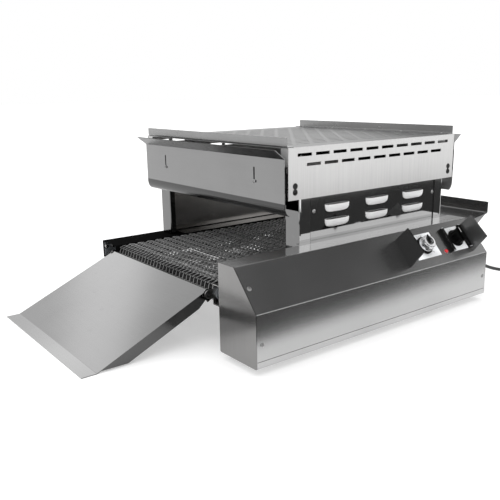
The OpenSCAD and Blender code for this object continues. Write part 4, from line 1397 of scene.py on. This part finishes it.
@dataclass
class Fasteners(SubAssembly):
    """Screws, rivets and bolts of the sheet metal, and the bolted plates in the rails' ends.

    Spots hold distances along the belt, the distance from its middle line and heights.
    """

    slope: Slope = Slope()
    front_x: Pair = (13.0, 689.0)
    front_z: float = 60.0
    slope_x: Pair = (12.0, 688.0)
    slope_up: float = 52.0
    keyholes: Spots = ((202.0, 704.0), 286.0, (312.5,))
    keyhole_screws: Spots = ((202.0, 704.0), 286.0, (300.0,))
    wall_screws: Spots = ((257.0, 651.0), 282.5, (254.0,))
    flap_x: Pair = (178.0, 728.0)
    flap_y: float = 184.0
    flap_z: float = 316.0
    upstand_x: Pair = (194.0, 712.0)
    upstand_step: float = 128.0
    top_z: float = 391.5
    foot_rivets: Spots = ((230.0, 672.0), 284.5, (142.0, 158.0))
    bearing_bolts: Spots = ((62.0, 718.0), 224.0, (89.4, 114.6))
    plate_x: tuple[Pair, Pair] = ((43.0, 95.0), (737.0, 685.0))
    plate_z: Pair = (84.0, 120.0)
    plate_t: float = 1.2
    rail_face: float = 296.0
    rail_bolts: Spots = ((48.0, 67.0, 732.0, 713.0), 294.8, (108.0,))
    leg_x: tuple[float, ...] = (94.0, 126.0, 654.0, 686.0)
    leg_face: float = 695.0
    leg_z: float = 60.0

    def build(self) -> None:
        """Builds all fasteners, grouped by what they hold."""
        self.build_box_screws()
        self.build_hood_screws()
        self.build_flap_screws()
        self.build_rivets()
        self.build_bolts()

    def build_box_screws(self) -> None:
        """Builds the screws of the control box."""
        screw, shape = CrossScrew(3.4, 2.0, 4.6), self.shape()
        for x in self.front_x:
            screw.add(shape, turned((x, 0, self.front_z), (0, -1, 0)))
        for x in self.slope_x:
            screw.add(shape, self.slope.place(x, self.slope_up))
        shape.piece("box_screws", Paints.SCREW, slot=Slot.BRIGHT)

    def build_hood_screws(self) -> None:
        """Builds the keyhole screws of the hood sides and the screws of the walls."""
        dark, pale = self.shape(), self.shape()
        # The rings at the keyholes and the screws in them are near black: painted shade of the keyholes.
        for place in self.sides(*self.keyholes):
            dark.lathe([(4.3, 0.02), (6.2, 0.02), (6.4, 0.4), (6.0, 0.8), (4.4, 0.7)], place, 32)
        for place in self.sides(*self.keyhole_screws):
            CrossScrew(5.0, 2.6, 6.4).add(dark, place)
        for place in self.sides(*self.wall_screws):
            CrossScrew(3.2, 2.0, 4.4).add(pale, place)
        dark.piece("hood_screws", Paints.BLACK_SCREW, slot=Slot.DARK)
        pale.piece("wall_screws", Paints.BAR, slot=Slot.BRIGHT)

    def build_flap_screws(self) -> None:
        """Builds the screws that carry the flaps."""
        shape = self.shape()
        for (x, out), side in product(zip(self.flap_x, SIDES), SIDES):
            place = turned((x, self.middle + side * self.flap_y, self.flap_z), (out, 0, 0), (0, 1, 0))
            shape.lathe([(2.0, -6.0), (2.0, 2.0), (4.1, 2.05), (4.2, 2.2)], place, 24)
            CrossScrew(3.4, 2.3, 4.2).add(shape, place @ Matrix.Translation((0, 0, 2.1)))
        shape.piece("flap_cross_screws", Paints.SCREW, slot=Slot.BRIGHT, replaces=["flap_screws"])

    def build_rivets(self) -> None:
        """Builds the rivets of the upstands and of the posts' feet."""
        shape = self.shape()
        places = [
            turned((x, self.middle + k * self.upstand_step, self.top_z), UP)
            for x, k in product(self.upstand_x, range(-2, 3))
        ]
        for place in (*places, *self.sides(*self.foot_rivets)):
            shape.lathe([(2.6, 0.0), (2.5, 0.5), (1.9, 1.0), (0.9, 1.3), (0, 1.35)], place, 20)
        shape.piece("sheet_rivets", Paints.BAR, slot=Slot.BRIGHT)

    def build_bolts(self) -> None:
        """Builds the hexagon bolts of the bearings, rails and legs, and the plates in the rails' ends."""
        bolts, plates = self.shape(), self.shape()
        for place in self.sides(*self.bearing_bolts):
            bolts.lathe([(2.4, 0), (2.4, 1.6), (2.0, 2.0)], place, 6)
        z0, z1 = self.plate_z
        for side, (x0, x1) in product(SIDES, self.plate_x):
            face = turned((0, self.middle + side * self.rail_face, 0), (0, -side, 0))
            plates.slab((x0, side * z0, x1, side * z1), 0.0, self.plate_t, face, 0.3)
        for place in self.sides(*self.rail_bolts, -1):
            HexBolt(6.6, 5.0, 4.9).add(bolts, place)
        for x in self.leg_x:
            HexBolt(7.0, 5.2, 5.0).add(bolts, turned((x, self.leg_face, self.leg_z), (0, 1, 0)))
        plates.piece("rail_end_plates", Paints.MOTOR, slot=Slot.DARK)
        bolts.piece("hexagon_bolts", Paints.BAR, slot=Slot.BRIGHT)


@dataclass
class HeaterTrim(SubAssembly):
    """Ceramic ends of the upper heater tubes."""

    count: int = 6
    tube_r: float = 4.0
    end: float = 234.0
    height: float = 290.0

    def build(self) -> None:
        """Builds the ceramic sleeves on the upper heaters."""
        low, high = (corner.x * 1000 + self.bench.mid_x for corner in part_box("heaters"))
        xs = np.linspace(low + self.tube_r, high - self.tube_r, self.count)
        sleeve = [(4.4, 0.0), (5.4, 0.3), (5.6, 2.0), (5.6, 7.0)]
        sleeve += [(4.6, 8.0), (4.6, 11.0), (3.6, 11.6), (2.1, 11.8)]
        shape = self.shape()
        for place in self.sides(xs, self.end, [self.height]):
            shape.lathe(sleeve, place, 24)
        shape.piece("heater_sleeves", Paints.CERAMIC, slot=Slot.UNIT)


class Dresser:
    """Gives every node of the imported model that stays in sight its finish."""

    NODES: dict[Finish, str] = {
        Paints.COVER: "box_cover",
        Paints.BASE: "box_tray leg_front leg_rear",
        Paints.ENDS: "box_end_left box_end_right",
        Paints.PANEL: "panel_near panel_far",
        Paints.TOP: "top_plate",
        Paints.RIM: "upstand_front upstand_rear",
        Paints.FLAP: "flap_front",
        Paints.REAR_FLAP: "flap_rear",
        Paints.CHUTE: "discharge_chute",
        Paints.INFEED: "infeed_tray",
        Paints.POST: "post_front_near post_rear_near",
        Paints.FAR_POST: "post_front_far post_rear_far",
        Paints.RAIL: "rail_near",
        Paints.FAR_RAIL: "rail_far",
        Paints.BEAM: "beam_front beam_rear",
        Paints.HOT: "reflector heater_bars",
        Paints.HEATER: "heaters low_heaters",
        Paints.DRUM: "drive_drum idler_drum",
        Paints.BAR: "cross_ties belt_skids chute_rod infeed_rod stop_rod",
        Paints.MOTOR: "drum_bearings gear_motor",
        Paints.BOARD: "speed_controller",
        Paints.UNIT: "thermostat terminal_block",
        Paints.DIAL: "speed_dial heat_dial",
        Paints.GUARD: "guard_left",
        Paints.END_GUARD: "guard_right",
        Paints.RUBBER: "rubber_feet",
    }

    @classmethod
    def dress(cls, nodes: dict[str, bpy.types.Object]) -> None:
        """Dresses the nodes.

        Args:
            nodes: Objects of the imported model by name.
        """
        finishes = {name: finish for finish, names in cls.NODES.items() for name in names.split()}
        for name, obj in nodes.items():
            if name in finishes:
                finishes[name].dress(obj)
            elif not obj.hide_render:
                LOG.warning("node %s has no finish", name)


@dataclass
class Studio:
    """Pale floor, soft light, reflecting surroundings and the camera.

    The bands of the surroundings are pairs of an edge and a width, in shares of the direction to them.
    """

    bench: Bench
    camera_at: Triple = (-650.166, -842.519, 501.284)
    azimuth: float = math.radians(-37.195)
    elevation: float = math.radians(13.937)
    roll: float = math.radians(-0.949)
    lens: float = 46.2175
    floor: float = 30000.0
    card: tuple[Pair, ...] = ((-900, -1170), (2600, -1170), (2600, -260), (-900, -70))
    light_way: Triple = (0.15, 0.2, 1.0)
    light_power: float = 2.0
    light_spread: float = math.radians(100.0)
    sky_z: Pair = (0.28, 0.4)
    sky_dark: float = 0.28
    lid_low: Pair = (0.38, 0.2)
    lid_high: Pair = (0.78, 0.1)
    lid_x: Pair = (0.38, 0.14)
    lid_y: Pair = (-0.1, 0.6)
    lid_dark: float = 0.69
    strip_slant: Pair = (2.89, 1.446)
    strip_edge: Pair = (0.0005, 0.035)
    strip_y: Pair = (0.5, 0.2)
    strip_glow: float = 0.6
    spot_way: Triple = (0.788, 0.541, 0.292)
    spot_edge: Pair = (0.986, 0.004)
    spot_dark: float = 0.85

    def build_camera(self) -> None:
        """Sets the camera at the photograph's viewpoint."""
        a, e, r = self.azimuth, self.elevation, self.roll
        back = Vector((math.sin(a) * math.cos(e), -math.cos(a) * math.cos(e), math.sin(e)))
        right = Vector((math.cos(a), math.sin(a), 0.0))
        upper = back.cross(right)
        x = right * math.cos(r) + upper * math.sin(r)
        y = upper * math.cos(r) - right * math.sin(r)
        data = bpy.data.cameras.new("photo_camera")
        data.sensor_width, data.lens = 36.0, self.lens
        data.clip_start, data.clip_end = 0.01, 100.0
        camera = bpy.data.objects.new("photo_camera", data)
        stand = Matrix.Translation(self.bench.at(*self.camera_at))
        camera.matrix_world = stand @ Matrix((x, y, back)).transposed().to_4x4()
        bpy.context.scene.collection.objects.link(camera)
        bpy.context.scene.camera = camera

    def build(self) -> None:
        """Builds the floor, the light and the surroundings."""
        bpy.context.scene.view_settings.view_transform = "Standard"
        far = box_outline(-self.floor, -self.floor, self.floor, self.floor)
        self.add_sheet("floor", far, 0.0, Paper("floor_paper", grey(0.7), 0.9, 0.4))
        card = self.add_sheet("dark_card", self.card, 2.0, Paper("card_felt", grey(0.035), 0.9))
        card.visible_camera = card.visible_shadow = card.visible_diffuse = False
        self.build_world()
        self.build_light()

    def add_sheet(self, name: str, corners: Pairs, z: float, finish: Finish) -> bpy.types.Object:
        """Adds a flat sheet of the studio.

        Args:
            name: Name of the sheet.
            corners: Its four corners, counted against the clock.
            z: Its height.
            finish: Its surface.

        Returns:
            The object.
        """
        mesh = bpy.data.meshes.new(name)
        mesh.from_pydata([self.bench.at(x, y, z) for x, y in corners], [], [(0, 1, 2, 3)])
        sheet = bpy.data.objects.new(name, mesh)
        bpy.context.scene.collection.objects.link(sheet)
        finish.dress(sheet)
        return sheet

    def build_world(self) -> None:
        """Builds surroundings that are white along the horizon, with dark and bright areas above it."""
        world = bpy.data.worlds.new("studio")
        bpy.context.scene.world = world
        world.use_nodes = True
        graph = Graph(world.node_tree)
        way = graph.add("ShaderNodeTexCoord", out="Generated")
        across, depth, height = (graph.along(way, axis) for axis in "XYZ")
        tilt, offset = self.strip_slant
        slant = across + height * tilt - offset
        lid = height.above(*self.lid_low) * (1.0 - height.above(*self.lid_high))
        lid = lid * across.above(*self.lid_x) * (1.0 - depth.above(*self.lid_y))
        strip = (1.0 - (slant * slant).above(*self.strip_edge)) * depth.above(*self.strip_y)
        vectors = {0: way, 1: self.spot_way}
        spot = graph.add("ShaderNodeVectorMath", {"operation": "DOT_PRODUCT"}, vectors, "Value")
        level = 1.0 - height.above(*self.sky_z) * self.sky_dark - lid * self.lid_dark
        level = level + strip * self.strip_glow - spot.above(*self.spot_edge) * self.spot_dark
        colour = graph.mix(level * 0.5, grey(0.0), grey(2.0))
        graph.put(world.node_tree.nodes["Background"].inputs["Color"], colour)

    def build_light(self) -> None:
        """Builds a wide even light overhead that shows in no reflection."""
        data = bpy.data.lights.new("overhead", "SUN")
        data.energy, data.angle = self.light_power, self.light_spread
        light = bpy.data.objects.new("overhead", data)
        light.rotation_euler = Vector(self.light_way).to_track_quat("Z", "Y").to_euler()
        light.visible_glossy = False
        bpy.context.scene.collection.objects.link(light)


def main() -> None:
    """Builds the studio and every part of the machine."""
    logging.basicConfig(level=logging.INFO, format="%(message)s")
    for obj in list(bpy.data.objects):
        bpy.data.objects.remove(obj)
    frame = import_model()
    bench = Bench.read()
    studio = Studio(bench)
    studio.build_camera()
    PowerCord(bench).build()
    studio.build()
    Conveyor(bench).build()
    ControlPanel(bench).build()
    wall = LouvredWall(bench)
    wall.build("wall_near", -1, Paints.WALL)
    wall.build("wall_far", 1, Paints.FAR_WALL)
    Seams(bench).build()
    Fasteners(bench).build()
    HeaterTrim(bench).build()
    Dresser.dress(frame["nodes"])


if __name__ == "__main__":
    main()
